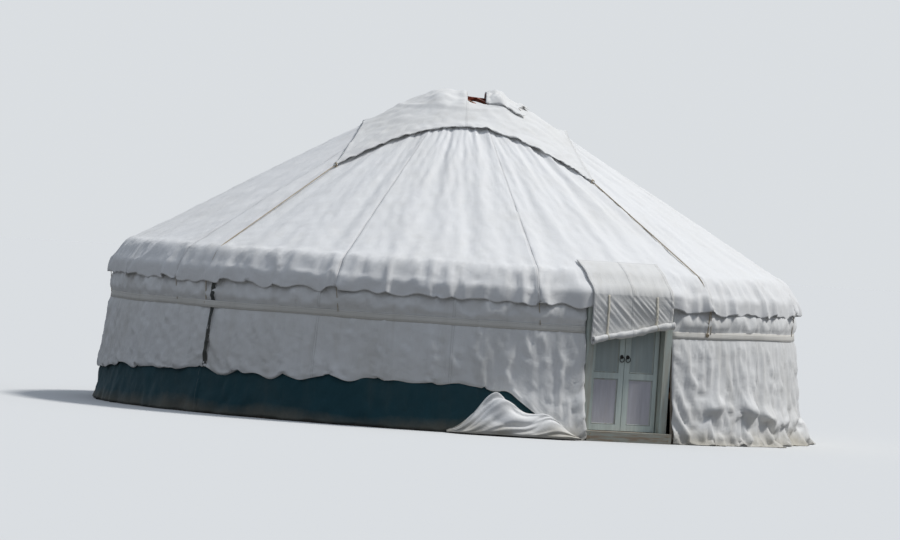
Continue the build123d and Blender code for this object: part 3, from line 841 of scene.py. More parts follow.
ragged.node.inputs[2].default_value = 0.16
above = combined(canvas, "ADD", level.outputs["Z"], ragged)
foot = canvas.nodes.new("ShaderNodeMapRange")
foot.inputs["From Min"].default_value = 0.0
linked(canvas, enter.outputs["Foot"], foot.inputs["From Max"])
foot.inputs["To Min"].default_value = 1.0
foot.inputs["To Max"].default_value = 0.0
linked(canvas, above, foot.inputs["Value"])
stains = combined(canvas, "MULTIPLY", spread(canvas, clouds.outputs["Fac"], 0.45, 0.72), 0.45)
runs = combined(canvas, "MULTIPLY", spread(canvas, streaks.outputs["Fac"], 0.52, 0.72), 0.35)
spots = combined(canvas, "MULTIPLY", spread(canvas, specks.outputs["Fac"], 0.6, 0.8), 0.15)
grime = combined(canvas, "ADD", combined(canvas, "ADD", stains, runs), spots)
grime = combined(canvas, "MULTIPLY", grime, enter.outputs["Dirt"])
grime = combined(canvas, "ADD", grime, combined(canvas, "MULTIPLY", foot.outputs[0], 0.75))
grime.node.use_clamp = True
soiled = blended(canvas, grime, enter.outputs["Cloth"], enter.outputs["Stain"])
linked(canvas, soiled, leave.inputs["Color"])
linked(canvas, spread(canvas, specks.outputs["Fac"], 0, 1, 0.80, 0.96), leave.inputs["Roughness"])
crumple = noise(canvas, 4.2, 6, 0.58, enter.outputs["Map"])
crumple.inputs["Distortion"].default_value = 0.7
crease = canvas.nodes.new("ShaderNodeTexNoise")
crease.noise_type = "RIDGED_MULTIFRACTAL"
crease.inputs["Scale"].default_value = 2.6
crease.inputs["Detail"].default_value = 3.0
linked(canvas, enter.outputs["Map"], crease.inputs["Vector"])
creases = combined(canvas, "MULTIPLY", crease.outputs["Fac"], 0.22)
linked(canvas, combined(canvas, "ADD", crumple.outputs["Fac"], creases), leave.inputs["Height"])
threads = []
for direction in ("X", "Y"):
    thread = canvas.nodes.new("ShaderNodeTexWave")
    thread.bands_direction = direction
    thread.inputs["Scale"].default_value = 160
    thread.inputs["Distortion"].default_value = 1.0
    linked(canvas, enter.outputs["Map"], thread.inputs["Vector"])
    threads.append(thread.outputs["Fac"])
linked(canvas, combined(canvas, "MULTIPLY", *threads), leave.inputs["Weave"])


def canvas_finish(name, colour, stain, dirt, foot, crease, seams=()):
    """Woven canvas that reads its own map in metres; seams are places across it, in metres,
    where two rows of stitching run up a doubled edge."""
    finish = bpy.data.materials.new(name)
    finish.use_nodes = True
    tree = finish.node_tree
    bsdf = tree.nodes["Principled BSDF"]
    place = tree.nodes.new("ShaderNodeTexCoord")
    chart = tree.nodes.new("ShaderNodeUVMap")
    chart.uv_map = "cloth"
    layer = tree.nodes.new("ShaderNodeGroup")
    layer.node_tree = canvas
    layer.inputs["Cloth"].default_value = (*colour, 1)
    layer.inputs["Stain"].default_value = (*stain, 1)
    layer.inputs["Dirt"].default_value = dirt
    layer.inputs["Foot"].default_value = foot
    linked(tree, place.outputs["Object"], layer.inputs["Place"])
    linked(tree, chart.outputs[0], layer.inputs["Map"])
    tint, height = layer.outputs["Color"], layer.outputs["Height"]
    if seams:
        spot = tree.nodes.new("ShaderNodeSeparateXYZ")
        linked(tree, chart.outputs[0], spot.inputs[0])
        dash = combined(tree, "PINGPONG", spot.outputs["Y"], 0.009)
        dash = spread(tree, dash, 0.002, 0.003)
        for seam in seams:
            away = combined(tree, "SUBTRACT", spot.outputs["X"], seam)
            away = combined(tree, "ABSOLUTE", away, 0.0)
            fold = spread(tree, away, 0.012, 0.018, 0.35, 0.0)
            row = combined(tree, "ABSOLUTE", combined(tree, "SUBTRACT", away, 0.009), 0.0)
            thread = combined(tree, "MULTIPLY", spread(tree, row, 0.0010, 0.0018, 1.0, 0.0), dash)
            crest = spread(tree, away, 0.012, 0.020, 0.35, 0.0)
            doubled = tuple(0.82 * c for c in colour)
            height = combined(tree, "ADD", height, fold)
            tint = blended(tree, combined(tree, "MULTIPLY", thread, 0.6), tint, (0.30, 0.28, 0.24))
            tint = blended(tree, combined(tree, "MULTIPLY", crest, 0.5), tint, doubled)
    linked(tree, tint, bsdf.inputs["Base Color"])
    linked(tree, layer.outputs["Roughness"], bsdf.inputs["Roughness"])
    bsdf.inputs["Specular IOR Level"].default_value = 0.15
    bsdf.inputs["Sheen Weight"].default_value = 0.15
    large = tree.nodes.new("ShaderNodeBump")
    large.inputs["Distance"].default_value = crease
    linked(tree, height, large.inputs["Height"])
    fine = tree.nodes.new("ShaderNodeBump")
    fine.inputs["Distance"].default_value = 0.0004
    fine.inputs["Strength"].default_value = 0.5
    linked(tree, layer.outputs["Weave"], fine.inputs["Height"])
    linked(tree, large.outputs[0], fine.inputs["Normal"])
    linked(tree, fine.outputs[0], bsdf.inputs["Normal"])
    return finish


DARK_GREEN = (0.020, 0.068, 0.085)
skirt_finish = canvas_finish(
    "skirt_canvas", DARK_GREEN, (0.16, 0.15, 0.12), dirt=0.22, foot=0.12, crease=0.012)
for number, strip in enumerate(SKIRT_STRIPS, 1):
    first, last = bay_angle(WALL_LIMITS[strip - 1]), bay_angle(WALL_LIMITS[strip])
    end = last + (0.6 if strip < WALL_STRIPS else 0)
    columns = int((last - first) / 0.5)
    angle, share = np.meshgrid(np.linspace(first - 0.2, end, columns), np.linspace(0, 1, 22))
    top = hem_height(angle) + 0.07
    height = 0.004 + share * (top - 0.004)
    loose = (1 - eased(share, 0.0, 0.55)) * (1 - 0.8 * eased(angle - 360, 250, 256))
    radius = chord(angle, wall_radius(height, 0.003))
    hidden = eased(height, top - 0.16, top - 0.06)
    ripples = np.abs(swells(angle, height, 11, 0.22, 0.5))
    radius = radius + (1 - hidden) * 0.006 * ripples - 0.004 * hidden
    folds = 1 + swells(angle, height, 12, 0.35, 0.6) * 0.6
    radius = radius + 0.020 * loose * np.maximum(0.25, folds)
    height = height + 0.004 * (1 - share) * (1 + swells(angle, 0 * angle, 13, 0.3, 1.0))
    size = (0.53 * (last - first) / BAY, 0.5)
    skirt = cloth(f"skirt_{number}", around(angle, radius, height), size, skirt_finish)
    thickened(skirt, 0.004)
    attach(skirt, "tent")
    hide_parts(f"base_skirt_{number}")
    width = BAY_CLOTH * (last - first) / BAY


# The wall canvas. White cotton canvas in five strips, tied at the lattice's top, held by the belt
# and lapped at the ends, where a dark band is a painted shadow of the gap under each lap; it is cut
# loose, so it hangs in folds and bunches at its foot.
def settled(made, held, under, slack, frames, bending=0.6):
    """Let a cloth settle over what is under it, held at its pins, and keep the result."""
    spots = made.vertex_groups.new(name="held")
    for i in np.nonzero(held > 0)[0]:
        spots.add([int(i)], float(held[i]), "REPLACE")
    wall = under.modifiers.new("under", "COLLISION")
    under.collision.thickness_outer = 0.006
    under.collision.cloth_friction = 8
    hang = made.modifiers.new("hang", "CLOTH")
    hang.settings.quality = 5
    hang.settings.mass = 0.35
    hang.settings.tension_stiffness = 18
    hang.settings.compression_stiffness = 18
    hang.settings.shear_stiffness = 8
    hang.settings.bending_stiffness = bending
    hang.settings.air_damping = 2.5
    hang.settings.vertex_group_mass = "held"
    hang.settings.pin_stiffness = 1
    hang.settings.shrink_min = -slack
    hang.collision_settings.distance_min = 0.005
    hang.collision_settings.collision_quality = 2
    hang.point_cache.frame_start = 1
    hang.point_cache.frame_end = frames
    for step in range(1, frames + 1):
        bpy.context.scene.frame_set(step)
    ready = made.evaluated_get(bpy.context.evaluated_depsgraph_get())
    places = np.empty(len(ready.data.vertices) * 3, np.float32)
    ready.data.vertices.foreach_get("co", places)
    made.modifiers.remove(hang)
    made.vertex_groups.remove(spots)
    under.modifiers.remove(wall)
    bpy.data.objects.remove(under)
    bpy.context.scene.frame_set(1)
    return places.reshape(-1, 3).astype(float)


def capped(moved, most):
    """Moves made no longer than the most allowed."""
    size = np.linalg.norm(moved, axis=-1, keepdims=True)
    return moved * np.minimum(1, most / np.maximum(size, 1e-9))


BELT_WIDTH = 0.075
BELT_TOP = WALL_HEIGHT - 0.320
BELT_LOW = BELT_TOP - BELT_WIDTH
WHITE = (0.80, 0.80, 0.79)
SMUDGE = (0.47, 0.44, 0.37)
# Near-black grey for the band over each lap, a painted shadow of the gap under the lapped edge.
SEAM_SHADOW_GREY = (0.060, 0.066, 0.062)
wall_finish = canvas_finish(
    "wall_canvas", WHITE, SMUDGE, dirt=0.55, foot=0.16, crease=0.010, seams=(1.45, 2.90))
seam_shadow_finish = canvas_finish(
    "seam_shadow_band", SEAM_SHADOW_GREY, (0.20, 0.18, 0.14), dirt=0.5, foot=0.1, crease=0.002)
FOOT_CROWD = 1.35
CANVAS_TOP = 1.475
WALL_ROWS = 50
CANVAS_STEP = 0.031
CANVAS_RADIUS = 3.68
OVER_SKIRT = 0.055
LET_DOWN = (248.5, 260.5)
LAST_HEM_PIN = 247
BESIDE_DOOR = 290
HEAVIEST = 316
RIGHT_EDGE = 331
MOST_SETTLING = 0.075


def bunched(radius, angle, height, strip):
    """The radius with the bunched foot added, and the height of the tuck in it. A belly hangs
    over the tuck, and the canvas spills out below; most beside the door and at the right."""
    beside_door = np.exp(-((angle - BESIDE_DOOR) / 13) ** 4)
    heavy = 0.20 + 0.80 * np.exp(-((((angle - HEAVIEST) + 180) % 360 - 180) / 36) ** 4)
    heavy = heavy * (0.80 + 0.20 * swells(angle, 0 * angle, 56, 1.0, 1.0))
    tuck = 0.215 + 0.095 * beside_door + 0.025 * swells(angle, 0 * angle, 58, 0.9, 1.0)
    belly = np.exp(-((height - tuck - 0.115) / 0.075) ** 2) * (0.030 + 0.065 * beside_door)
    belly = belly * (1 + 0.35 * swells(angle, height, 57, 0.40, 0.6))
    spill = (
        0.085 + 0.045 * beside_door + 0.050 * (1 - eased(height, 0.0, 0.09))
        + 0.028 * swells(angle, height, 50 + strip, 0.30, 0.5))
    spill = (1 - eased(height, 0.05 + 0.06 * beside_door, tuck)) * spill
    flare = 0.13 * np.exp(-((angle - RIGHT_EDGE) / 9) ** 2) * (1 - eased(height, 0.14, 0.48))
    return radius + heavy * (belly + np.maximum(spill, 0)) + flare, tuck


def wall_pins(angle, height, strip, tuck):
    """How firmly each point of a strip is held: at its top, under the belt, at its two ends,
    and at the poles along its hem and its tuck."""
    held = np.zeros(angle.shape)
    held[-1] = 1
    held[(height > BELT_LOW - 0.01) & (height < BELT_TOP + 0.01)] = 1
    held[:, 0] = 1
    held[:, -1][::6] = 0.8
    bay = (angle - FIRST_BAY) / BAY
    at_pole = np.abs(bay - np.round(bay)) < 0.03
    held[0][at_pole[0] & ((strip < WALL_STRIPS) | (angle[0] < 360 + LAST_HEM_PIN))] = 1
    if strip not in SKIRT_STRIPS:
        held[(np.abs(height - tuck) < 0.02) & at_pole] = 0.9
        held[(np.abs(height - 0.06) < 0.02) & at_pole] = 0.7
    return held


def seam_shadow_band(wall, strip, columns):
    """A dark band over the end of a strip, laid on its last columns: a painted shadow of the gap
    under the lap.
    """
    places = np.empty(WALL_ROWS * columns * 3, np.float32)
    wall.data.vertices.foreach_get("co", places)
    edge = places.reshape(WALL_ROWS, columns, 3)[:, -3:].astype(float)
    beyond = edge[:, 2:] + 0.10 * (edge[:, 2:] - edge[:, 1:2])
    edge = np.concatenate([0.5 * (edge[:, :1] + edge[:, 1:2]), edge[:, 1:], beyond], axis=1)
    reach = np.linalg.norm(edge[..., :2], axis=-1, keepdims=True)
    edge *= 1 + 0.0055 / reach * np.array([1, 1, 0])
    size = (0.050, WALL_HEIGHT)
    shadow_band = cloth(f"seam_webbing_{strip}", edge, size, seam_shadow_finish, FOOT_CROWD)
    return thickened(shadow_band, 0.0022)


for strip in range(1, WALL_STRIPS + 1):
    first, last = bay_angle(WALL_LIMITS[strip - 1]), bay_angle(WALL_LIMITS[strip])
    start = first - (0.5 if strip > 1 else 0)
    end = last + (1.5 if strip < WALL_STRIPS else 0)
    width = BAY_CLOTH * (end - start) / BAY
    columns = int((end - start) * math.radians(1) * CANVAS_RADIUS / CANVAS_STEP)
    angle, share = np.meshgrid(np.linspace(start, end, columns), np.linspace(0, 1, WALL_ROWS))
    if strip in SKIRT_STRIPS:
        low = hem_height(angle) - 0.012 + 0.016 * swells(angle, 0 * angle, 21, 0.5, 1.0)
        low = low + (0.010 - low) * eased(angle - 360, *LET_DOWN)
    else:
        low = 0.006 + 0.0 * angle
    height = low + share ** FOOT_CROWD * (CANVAS_TOP - low)
    lap = eased(angle, last - 0.6, last + 1.2) if strip < WALL_STRIPS else 0 * angle
    pressed = np.exp(-((height - BELT_LOW - 0.037) / BELT_WIDTH) ** 4)
    loose = np.where(height < BELT_LOW, 1.0, 0.45) * eased(share, 0.0, 0.08) * (1 - pressed)
    loose = loose * (0.15 + 0.85 * eased(angle, first + 0.8, first + 3.5)) * (1 - 0.7 * lap)
    under_eave = eased(height, 1.26, 1.37)
    loose = loose * (1 - 0.8 * under_eave)
    radius = chord(angle, wall_radius(height)) + 0.004 + 0.020 * lap * (1 - 0.7 * pressed)
    radius = radius + loose * (
        0.007 * np.abs(swells(angle, height, 30 + strip, 0.34, 1.1))
        + 0.012 * np.abs(swells(angle + 9 * height, height, 60 + strip, 0.55, 0.40))
        + 0.004 * swells(angle, height, 40 + strip, 0.14, 0.16))
    over_skirt = 0 * height
    if strip in SKIRT_STRIPS:
        over_skirt = OVER_SKIRT * (1 - eased(height, 0.08, 0.58))
    radius = radius + over_skirt
    tuck = None
    if strip not in SKIRT_STRIPS:
        radius, tuck = bunched(radius, angle, height, strip)
    shape = around(angle, radius, height)
    wall = cloth(f"wall_canvas_{strip}", shape, (width, WALL_HEIGHT), wall_finish, FOOT_CROWD)
    held = wall_pins(angle, height, strip, tuck)
    under = chord(angle, wall_radius(height)) - 0.004 + over_skirt
    backing = cloth("backing", around(angle, under, height)[::3, ::3], (1, 1))
    places = settled(wall, held.ravel(), backing, slack=0.035, frames=14)
    rest = shape.reshape(-1, 3)
    most = MOST_SETTLING - 0.071 * under_eave.reshape(-1, 1)
    places = rest + capped(places - rest, most)
    places[:, 2] = np.maximum(places[:, 2], 0.004)
    wall.data.vertices.foreach_set("co", places.astype(np.float32).ravel())
    wall.data.update()
    # A dark band over each lap, a painted shadow of the gap under the lapped edge.
    if strip < WALL_STRIPS:
        shadow_band = seam_shadow_band(wall, strip, columns)
        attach(shadow_band, "tent")
    thickened(wall, 0.004)
    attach(wall, "tent")
    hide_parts(f"wall_cover_{strip}")


# The spare length of the drawn-up canvas, let down beside the door, where it lies in a heap of
# soft folds at the foot of the skirt: one tall mound and a lower one towards the door.
HEAP_START, HEAP_PEAK, HEAP_SECOND, HEAP_END = 240.2, 247.5, 255.2, 260.6
HEAP_HEIGHT = 0.395
angle, step = np.meshgrid(np.linspace(HEAP_START, HEAP_END, 72), np.linspace(0, 1, 36))
rise = np.exp(-((angle - HEAP_PEAK) / 4.2) ** 2)
rise = rise + 0.58 * np.exp(-((angle - HEAP_SECOND) / 3.6) ** 2)
ends = np.minimum(
    eased(angle, HEAP_START - 0.3, HEAP_START + 3.2),
    1 - 0.65 * eased(angle, HEAP_END - 4.0, HEAP_END))
profile = np.array([
    (0.008, 0.62), (0.030, 0.90), (0.075, 1.00), (0.125, 0.90), (0.170, 0.69), (0.205, 0.46),
    (0.235, 0.26), (0.255, 0.10), (0.250, 0.012)])
places = np.linspace(0, 1, len(profile))
out = np.interp(step, places, profile[:, 0]) * (0.50 + 0.50 * ends)
up = np.interp(step, places, profile[:, 1])
slant = 0.8 * step + 0.045 * (angle - HEAP_PEAK)
flow = swells(0.25 * angle, slant, 151, 0.60, 0.42)
small = swells(0.5 * angle, slant, 152, 0.30, 0.16)
height = HEAP_HEIGHT * rise * up + 0.010
bulge = np.sin(np.pi * np.clip(step * 1.08, 0, 1)) ** 0.7
wrinkle = np.abs(swells(0.5 * angle, slant, 153, 0.34, 0.24))
out = out + bulge * (0.022 * np.abs(flow) - 0.008 + 0.006 * small + 0.013 * wrinkle)
stir = 0.024 * flow * (1 - step) + (0.004 * small + 0.010 * wrinkle) * bulge
height = height + np.minimum(rise, 1) * stir
height = np.maximum(height, 0.006)
radius = wall_radius(0 * height) + 0.012 + out - 0.09 * np.minimum(height, 0.25)
heap = cloth("foot_heap", around(angle, radius, height)[::-1], (1.30, 0.62), wall_finish)
finer = heap.modifiers.new("finer", "SUBSURF")
finer.levels = finer.render_levels = 1
thickened(heap, 0.005)
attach(heap, "tent")


# The belt. A woven woollen band, 75 mm wide, drawn tight round the wall from one door jamb to
# the other; it presses the canvas against the lattice.
BELT_MAP_RADIUS = 3.6
belt_finish = canvas_finish(
    "belt_webbing", (0.74, 0.72, 0.67), (0.40, 0.36, 0.28),
    dirt=0.5, foot=0.1, crease=0.003, seams=(0.010, 0.065))
turns = np.linspace(bay_angle(0) + 0.1, bay_angle(WALL_BAYS) - 0.1, WALL_BAYS * 8)
section = [
    (0.004, 0.0), (0.0085, 0.003), (0.0085, 0.072),
    (0.004, BELT_WIDTH), (0.002, 0.066), (0.002, 0.009),
]
sides = len(section)
wobble = 0.004 * swells(turns, 0 * turns, 71, 1.6, 1.0)
over_laps = sum(
    np.exp(-((turns - bay_angle(limit) - 0.5) / 1.9) ** 4)
    for limit in WALL_LIMITS[1:-1])
rows = []
for out, up in section:
    radius = chord(turns, wall_radius(BELT_LOW + up)) + 0.002 + 0.017 * over_laps + out
    rows.append(around(turns, radius, BELT_LOW + up + wobble))
grid = np.stack(rows, axis=1)
count = len(turns)
faces = []
for i in range(count - 1):
    for k in range(sides):
        m = (k + 1) % sides
        faces.append((i * sides + k, (i + 1) * sides + k, (i + 1) * sides + m, i * sides + m))
faces += [tuple(range(sides)), tuple((count - 1) * sides + k for k in range(sides))[::-1]]
belt = closed_mesh("wall_belt_band", grid.reshape(-1, 3), faces, belt_finish)
chart = belt.data.uv_layers.new(name="cloth")
for corner in belt.data.loops:
    x, y, z = belt.data.vertices[corner.vertex_index].co
    chart.data[corner.index].uv = (z - BELT_LOW, math.atan2(-x, y) * BELT_MAP_RADIUS)
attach(belt, "tent")
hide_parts("wall_belt")


# The roof canvas. Eleven sewn sectors of the same white canvas, stretched over the poles; its
# hem hangs loose over the wall in folds and scallops, drawn in at every second pole.
OUTER_LIFT = 0.024
HEM_ROWS = 14
BAND_ROWS = HEM_ROWS + 8
COLUMNS = 14
SECTORS = 11
SECTOR_WIDTH = 2.06
MOST_HEM_SETTLING = 0.060
line, along = walked(roof_profile(OUTER_LIFT), 80, 1.30)
whole = along[-1]
slope = np.gradient(line, axis=0)
slope /= np.linalg.norm(slope, axis=1)[:, None]
outwards = np.stack([slope[:, 1], -slope[:, 0]], axis=-1)
columns = BAYS * COLUMNS
angle, step = np.meshgrid(270 + np.linspace(0, 360, columns + 1), np.arange(len(line)))
far = along[step]
out = roof_sag(angle, far, whole)
free = 1 - eased(far, 0.02, 0.24)
work = eased(whole - far, 0.0, 0.5) * (0.4 + 0.6 * eased(far, 0.1, 0.5))
pulls = 0.0045 * swells(angle, far, 81, 0.26, 2.2) + 0.0030 * swells(angle, far, 82, 0.16, 0.30)
out = out + work * pulls
over_bend = 1 - eased(np.abs(far - 0.26), 0.05, 0.30)
out = out + 0.006 * over_bend * np.abs(swells(angle, far, 83, 0.30, 0.5))
out = np.maximum(out, -0.013 + 0.9 * roof_sag(angle, far, whole))
between_ties = np.abs(np.sin(np.radians((angle - FIRST_BAY) / BAY * 90)))
fold = np.abs(swells(angle, 0.3 * far, 84, 0.42, 2.0))
front = np.sin(np.radians(angle)) < 0
aside = np.abs(line[step, 0] * np.cos(np.radians(angle)))
under_flap = (1 - eased(aside, 0.50, 0.66)) * front
scallops = 0.004 + 0.022 * between_ties * (0.4 + 0.6 * fold) + 0.010 * fold
out = out + (1 - 0.9 * under_flap) * free * scallops
radius = chord(angle, line[step, 0]) + out * outwards[step, 0]
height = line[step, 1] + out * outwards[step, 1]
height = height - free * (0.010 * between_ties + 0.014 * swells(angle, 0 * angle, 85, 0.45, 1.0))
aside = np.abs(radius * np.cos(np.radians(angle)))


def over_lintel(aside, height, front):
    """Where the covers are carried out over the door's lintel, from nought to one."""
    return front * (1 - eased(aside, 0.53, 0.78)) * (1 - eased(height, 1.50, 1.64))


carried = over_lintel(aside, height, front)
reach = (FRAME_FRONT + 0.012) / np.maximum(np.abs(np.sin(np.radians(angle))), 0.5)
radius = radius + carried * np.maximum(reach - radius, 0)
canopy = around(angle, radius, height)

hem = canopy[:BAND_ROWS]
band = cloth("hem_band", hem, (23, 0.4))
held = np.zeros(hem.shape[:2])
held[HEM_ROWS + 2:] = 1
held[:, 0] = held[:, -1] = 1
tied = (np.arange(columns + 1) % (2 * COLUMNS)) == 0
held[1, tied] = 0.9
inner = around(angle, radius - 0.016 - 0.5 * free * np.maximum(out, 0), height)
backing = cloth("backing", inner[:BAND_ROWS:2, ::2], (1, 1))
places = settled(band, held.ravel(), backing, slack=0.05, frames=16, bending=0.4)
places = places.reshape(hem.shape)
bpy.data.objects.remove(band)
moved = capped(places - hem, MOST_HEM_SETTLING)
moved[:, -1] = moved[:, 0]
hem += moved * (1 - under_flap[:BAND_ROWS, :, None])

roof_finish = canvas_finish(
    "roof_canvas", (0.82, 0.82, 0.815), (0.56, 0.53, 0.46),
    dirt=0.30, foot=0.02, crease=0.0055, seams=(0.0, SECTOR_WIDTH))
for sector in range(SECTORS):
    pick = (np.arange(4 * COLUMNS + 1) + (4 * sector - 2) * COLUMNS) % columns
    roof = cloth(f"roof_canvas_{sector + 1}", canopy[:, pick], (SECTOR_WIDTH, whole), roof_finish)
    thickened(roof, 0.004)
    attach(roof, "tent")
    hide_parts(f"roof_cover_{sector + 1}")


# The crown cover. A square of canvas drawn over the crown, its corners tied down with ropes
# and its edges drawn in between them; it is folded back beside a slot that lets smoke out.
RING_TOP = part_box("crown_ring")[1].z
CROWN_RISE = 0.150
CROWN_SEAT = 0.685
CROWN_TURN = math.radians(-29)
CROWN_HALF = 1.380
CROWN_WIDTH = 2 * CROWN_HALF
EDGE_BOW = 0.290
SLOT_LOW, SLOT_HIGH, SLOT_END = 0.015, 0.205, 0.575
crown_ball = (CROWN_SEAT ** 2 + CROWN_RISE ** 2) / (2 * CROWN_RISE)
cone_top = line[-1]


def rumples(x, y, seed, wide, tall, count=30):
    """Random smooth swells over a flat cloth, with their usual size along its two sides."""
    dice = np.random.default_rng(seed)
    total = 0 * x
    for _ in range(count):
        a, b, c = dice.normal() / wide, dice.normal() / tall, dice.random()
        total = total + np.cos(2 * math.pi * (a * x + b * y + c))
    return total * math.sqrt(2 / count)


def crown_turned(x, y):
    """Places on the cover's own two axes, turned as it lies on the crown."""
    cos, sin = math.cos(CROWN_TURN), math.sin(CROWN_TURN)
    return x * cos - y * sin, x * sin + y * cos


def beside_slot(x):
    """The ridge of doubled canvas on the side of the slot that is folded back."""
    return 0.060 * np.exp(-((x - SLOT_HIGH - 0.13) / 0.11) ** 2)


def crown_height(radius):
    """How high the crown cover lies at a distance from the tent's axis."""
    dome = RING_TOP + CROWN_RISE + 0.020 - crown_ball + np.sqrt(
        np.maximum(crown_ball ** 2 - np.minimum(radius, CROWN_SEAT) ** 2, 0))
    cone = cone_top[1] + 0.012 - (radius - cone_top[0]) * math.tan(ROOF_SLOPE)
    rim = eased(radius, CROWN_SEAT - 0.01, cone_top[0] + 0.03)
    return dome * (1 - rim) + np.minimum(cone, dome + 0.02) * rim


SIDE = 117
a, b = np.meshgrid(np.linspace(-1, 1, SIDE), np.linspace(-1, 1, SIDE))
x = a * (CROWN_HALF - EDGE_BOW * (1 - b ** 2))
y = b * (CROWN_HALF - EDGE_BOW * (1 - a ** 2))
away = np.hypot(x, y)
top = 1 - eased(away, 0.55, 0.95)
lift = 0.006 * np.abs(rumples(x, y, 91, 0.45, 0.45)) + 0.0015 * rumples(x, y, 92, 0.16, 0.16)
pull = np.abs(a * b) ** 1.5
lift = lift + pull * 0.010 * np.abs(rumples(x - y, x + y, 93, 0.16, 1.2))
cut = np.maximum(np.abs(a), np.abs(b))
edge_waves = 0.010 + 0.014 * np.abs(rumples(x, y, 94, 0.24, 0.24))
lift = lift + eased(cut, 0.86, 1.0) * edge_waves * (1 - pull)
ends = 1 - eased(np.abs(y), SLOT_END - 0.10, SLOT_END + 0.28)
beside = 0.050 * np.exp(-((x + 0.27) / 0.20) ** 2)
beside = beside + 0.030 * np.exp(-((x - SLOT_LOW + 0.045) / 0.05) ** 2)
beside = beside + beside_slot(x)
lift = lift + top * ends * beside * (1 + 0.22 * rumples(x, y, 95, 0.5, 0.30))
sunk = np.exp(-((x - 0.5 * (SLOT_LOW + SLOT_HIGH)) / 0.09) ** 2) * top * ends
height = crown_height(away) + lift - 0.010 * sunk
crown_grid = np.stack([*crown_turned(x, y), height], axis=-1)
crown_canvas_finish = canvas_finish(
    "crown_canvas", (0.80, 0.798, 0.785), (0.50, 0.47, 0.40),
    dirt=0.45, foot=0.02, crease=0.004, seams=(0.02, CROWN_HALF, CROWN_WIDTH - 0.02))
crown_cloth = cloth("crown_canvas", crown_grid, (CROWN_WIDTH, CROWN_WIDTH), crown_canvas_finish)
work = bmesh.new()
work.from_mesh(crown_cloth.data)
work.verts.ensure_lookup_table()
inside = (x.ravel() > SLOT_LOW) & (x.ravel() < SLOT_HIGH) & (np.abs(y.ravel()) < SLOT_END)
bmesh.ops.delete(work, geom=[work.verts[i] for i in np.nonzero(inside)[0]], context="VERTS")
work.to_mesh(crown_cloth.data)
work.free()
thickened(crown_cloth, 0.005)
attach(crown_cloth, "tent")
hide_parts("crown_cover")

# The part of it that is turned back over itself beside the slot.
p, q = np.meshgrid(np.linspace(0, 1, 34), np.linspace(-1, 1, 62))
turned = 0.40 + 0.035 * rumples(q, q, 96, 0.9, 0.9)
fold_x = SLOT_HIGH - 0.012 + p * turned
fold_y = q * (SLOT_END + 0.01)
away = np.hypot(fold_x, fold_y)
roll = np.exp(-(p / 0.13) ** 2)
lift = beside_slot(fold_x) * (1 + 0.22 * rumples(fold_x, fold_y, 95, 0.5, 0.30))
top = (1 - eased(away, 0.55, 0.95)) * (1 - eased(np.abs(fold_y), SLOT_END - 0.10, SLOT_END + 0.28))
lift = lift * top + 0.016 + 0.010 * np.abs(rumples(fold_x, fold_y, 97, 0.22, 0.30))
lift = lift + 0.012 * roll * np.abs(rumples(fold_y, fold_y, 98, 0.3, 0.3))
lift = lift + 0.014 * eased(p, 0.8, 1.0) * np.abs(rumples(fold_y, fold_y, 99, 0.22, 0.22))
height = crown_height(away) + lift
fold_grid = np.stack([*crown_turned(fold_x, fold_y), height], axis=-1)
fold_cloth = cloth("crown_fold", fold_grid, (0.40, 1.15), crown_canvas_finish)
thickened(fold_cloth, 0.005)
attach(fold_cloth, "tent")
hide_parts("crown_cover_fold")


# The ropes. Twisted hemp: one 12 mm thick from each corner of the crown cover down the roof to
# the belt, and short ties 8 mm thick between the roof's hem and the belt at every sewn seam.
ROPE_RADIUS = 0.006
TIE_RADIUS = 0.004
rope_finish = plain_finish("hemp_rope", (0.50, 0.42, 0.30), rough=0.92, mottle=0.3, scale=90)


STRANDS = 3


def outward(angle, up=0.0):
    """The direction away from the tent's axis at an angle, with a rise."""
    return np.array([math.cos(math.radians(angle)), math.sin(math.radians(angle)), up])


def twisted(points, radius, lay=0.055):
    """Strands laid round each other along a line, as points and faces."""
    line = np.asarray(points, float)
    steps = np.concatenate([[0], np.cumsum(np.linalg.norm(np.diff(line, axis=0), axis=1))])
    count = max(6, int(steps[-1] / (lay / 7)))
    at = np.linspace(0, steps[-1], count)
    line = np.stack([np.interp(at, steps, line[:, k]) for k in range(3)], axis=-1)
    ahead = np.gradient(line, axis=0)
    ahead /= np.linalg.norm(ahead, axis=1)[:, None]
    level = abs(ahead[len(ahead) // 2, 2]) < 0.9
    side = np.cross(ahead, (0.0, 0.0, 1.0) if level else (1.0, 0.0, 0.0))
    side /= np.linalg.norm(side, axis=1)[:, None]
    up = np.cross(side, ahead)
    made = []
    for k in range(STRANDS):
        a = 2 * math.pi * (at / lay + k / STRANDS)
        path = line + 0.5 * radius * (side * np.cos(a)[:, None] + up * np.sin(a)[:, None])
        made.append(tube(path, 0.56 * radius, 5))
    return joined(made)


def down_the_roof(angle, start, end, lift):
    """Points down the roof and its eave at one angle, from one radius to a height."""
    return [
        around(angle, float(chord(angle, r)), z) + outward(angle, 0.8) * lift
        for r, z in line[::-1] if r >= start and z > end
    ]


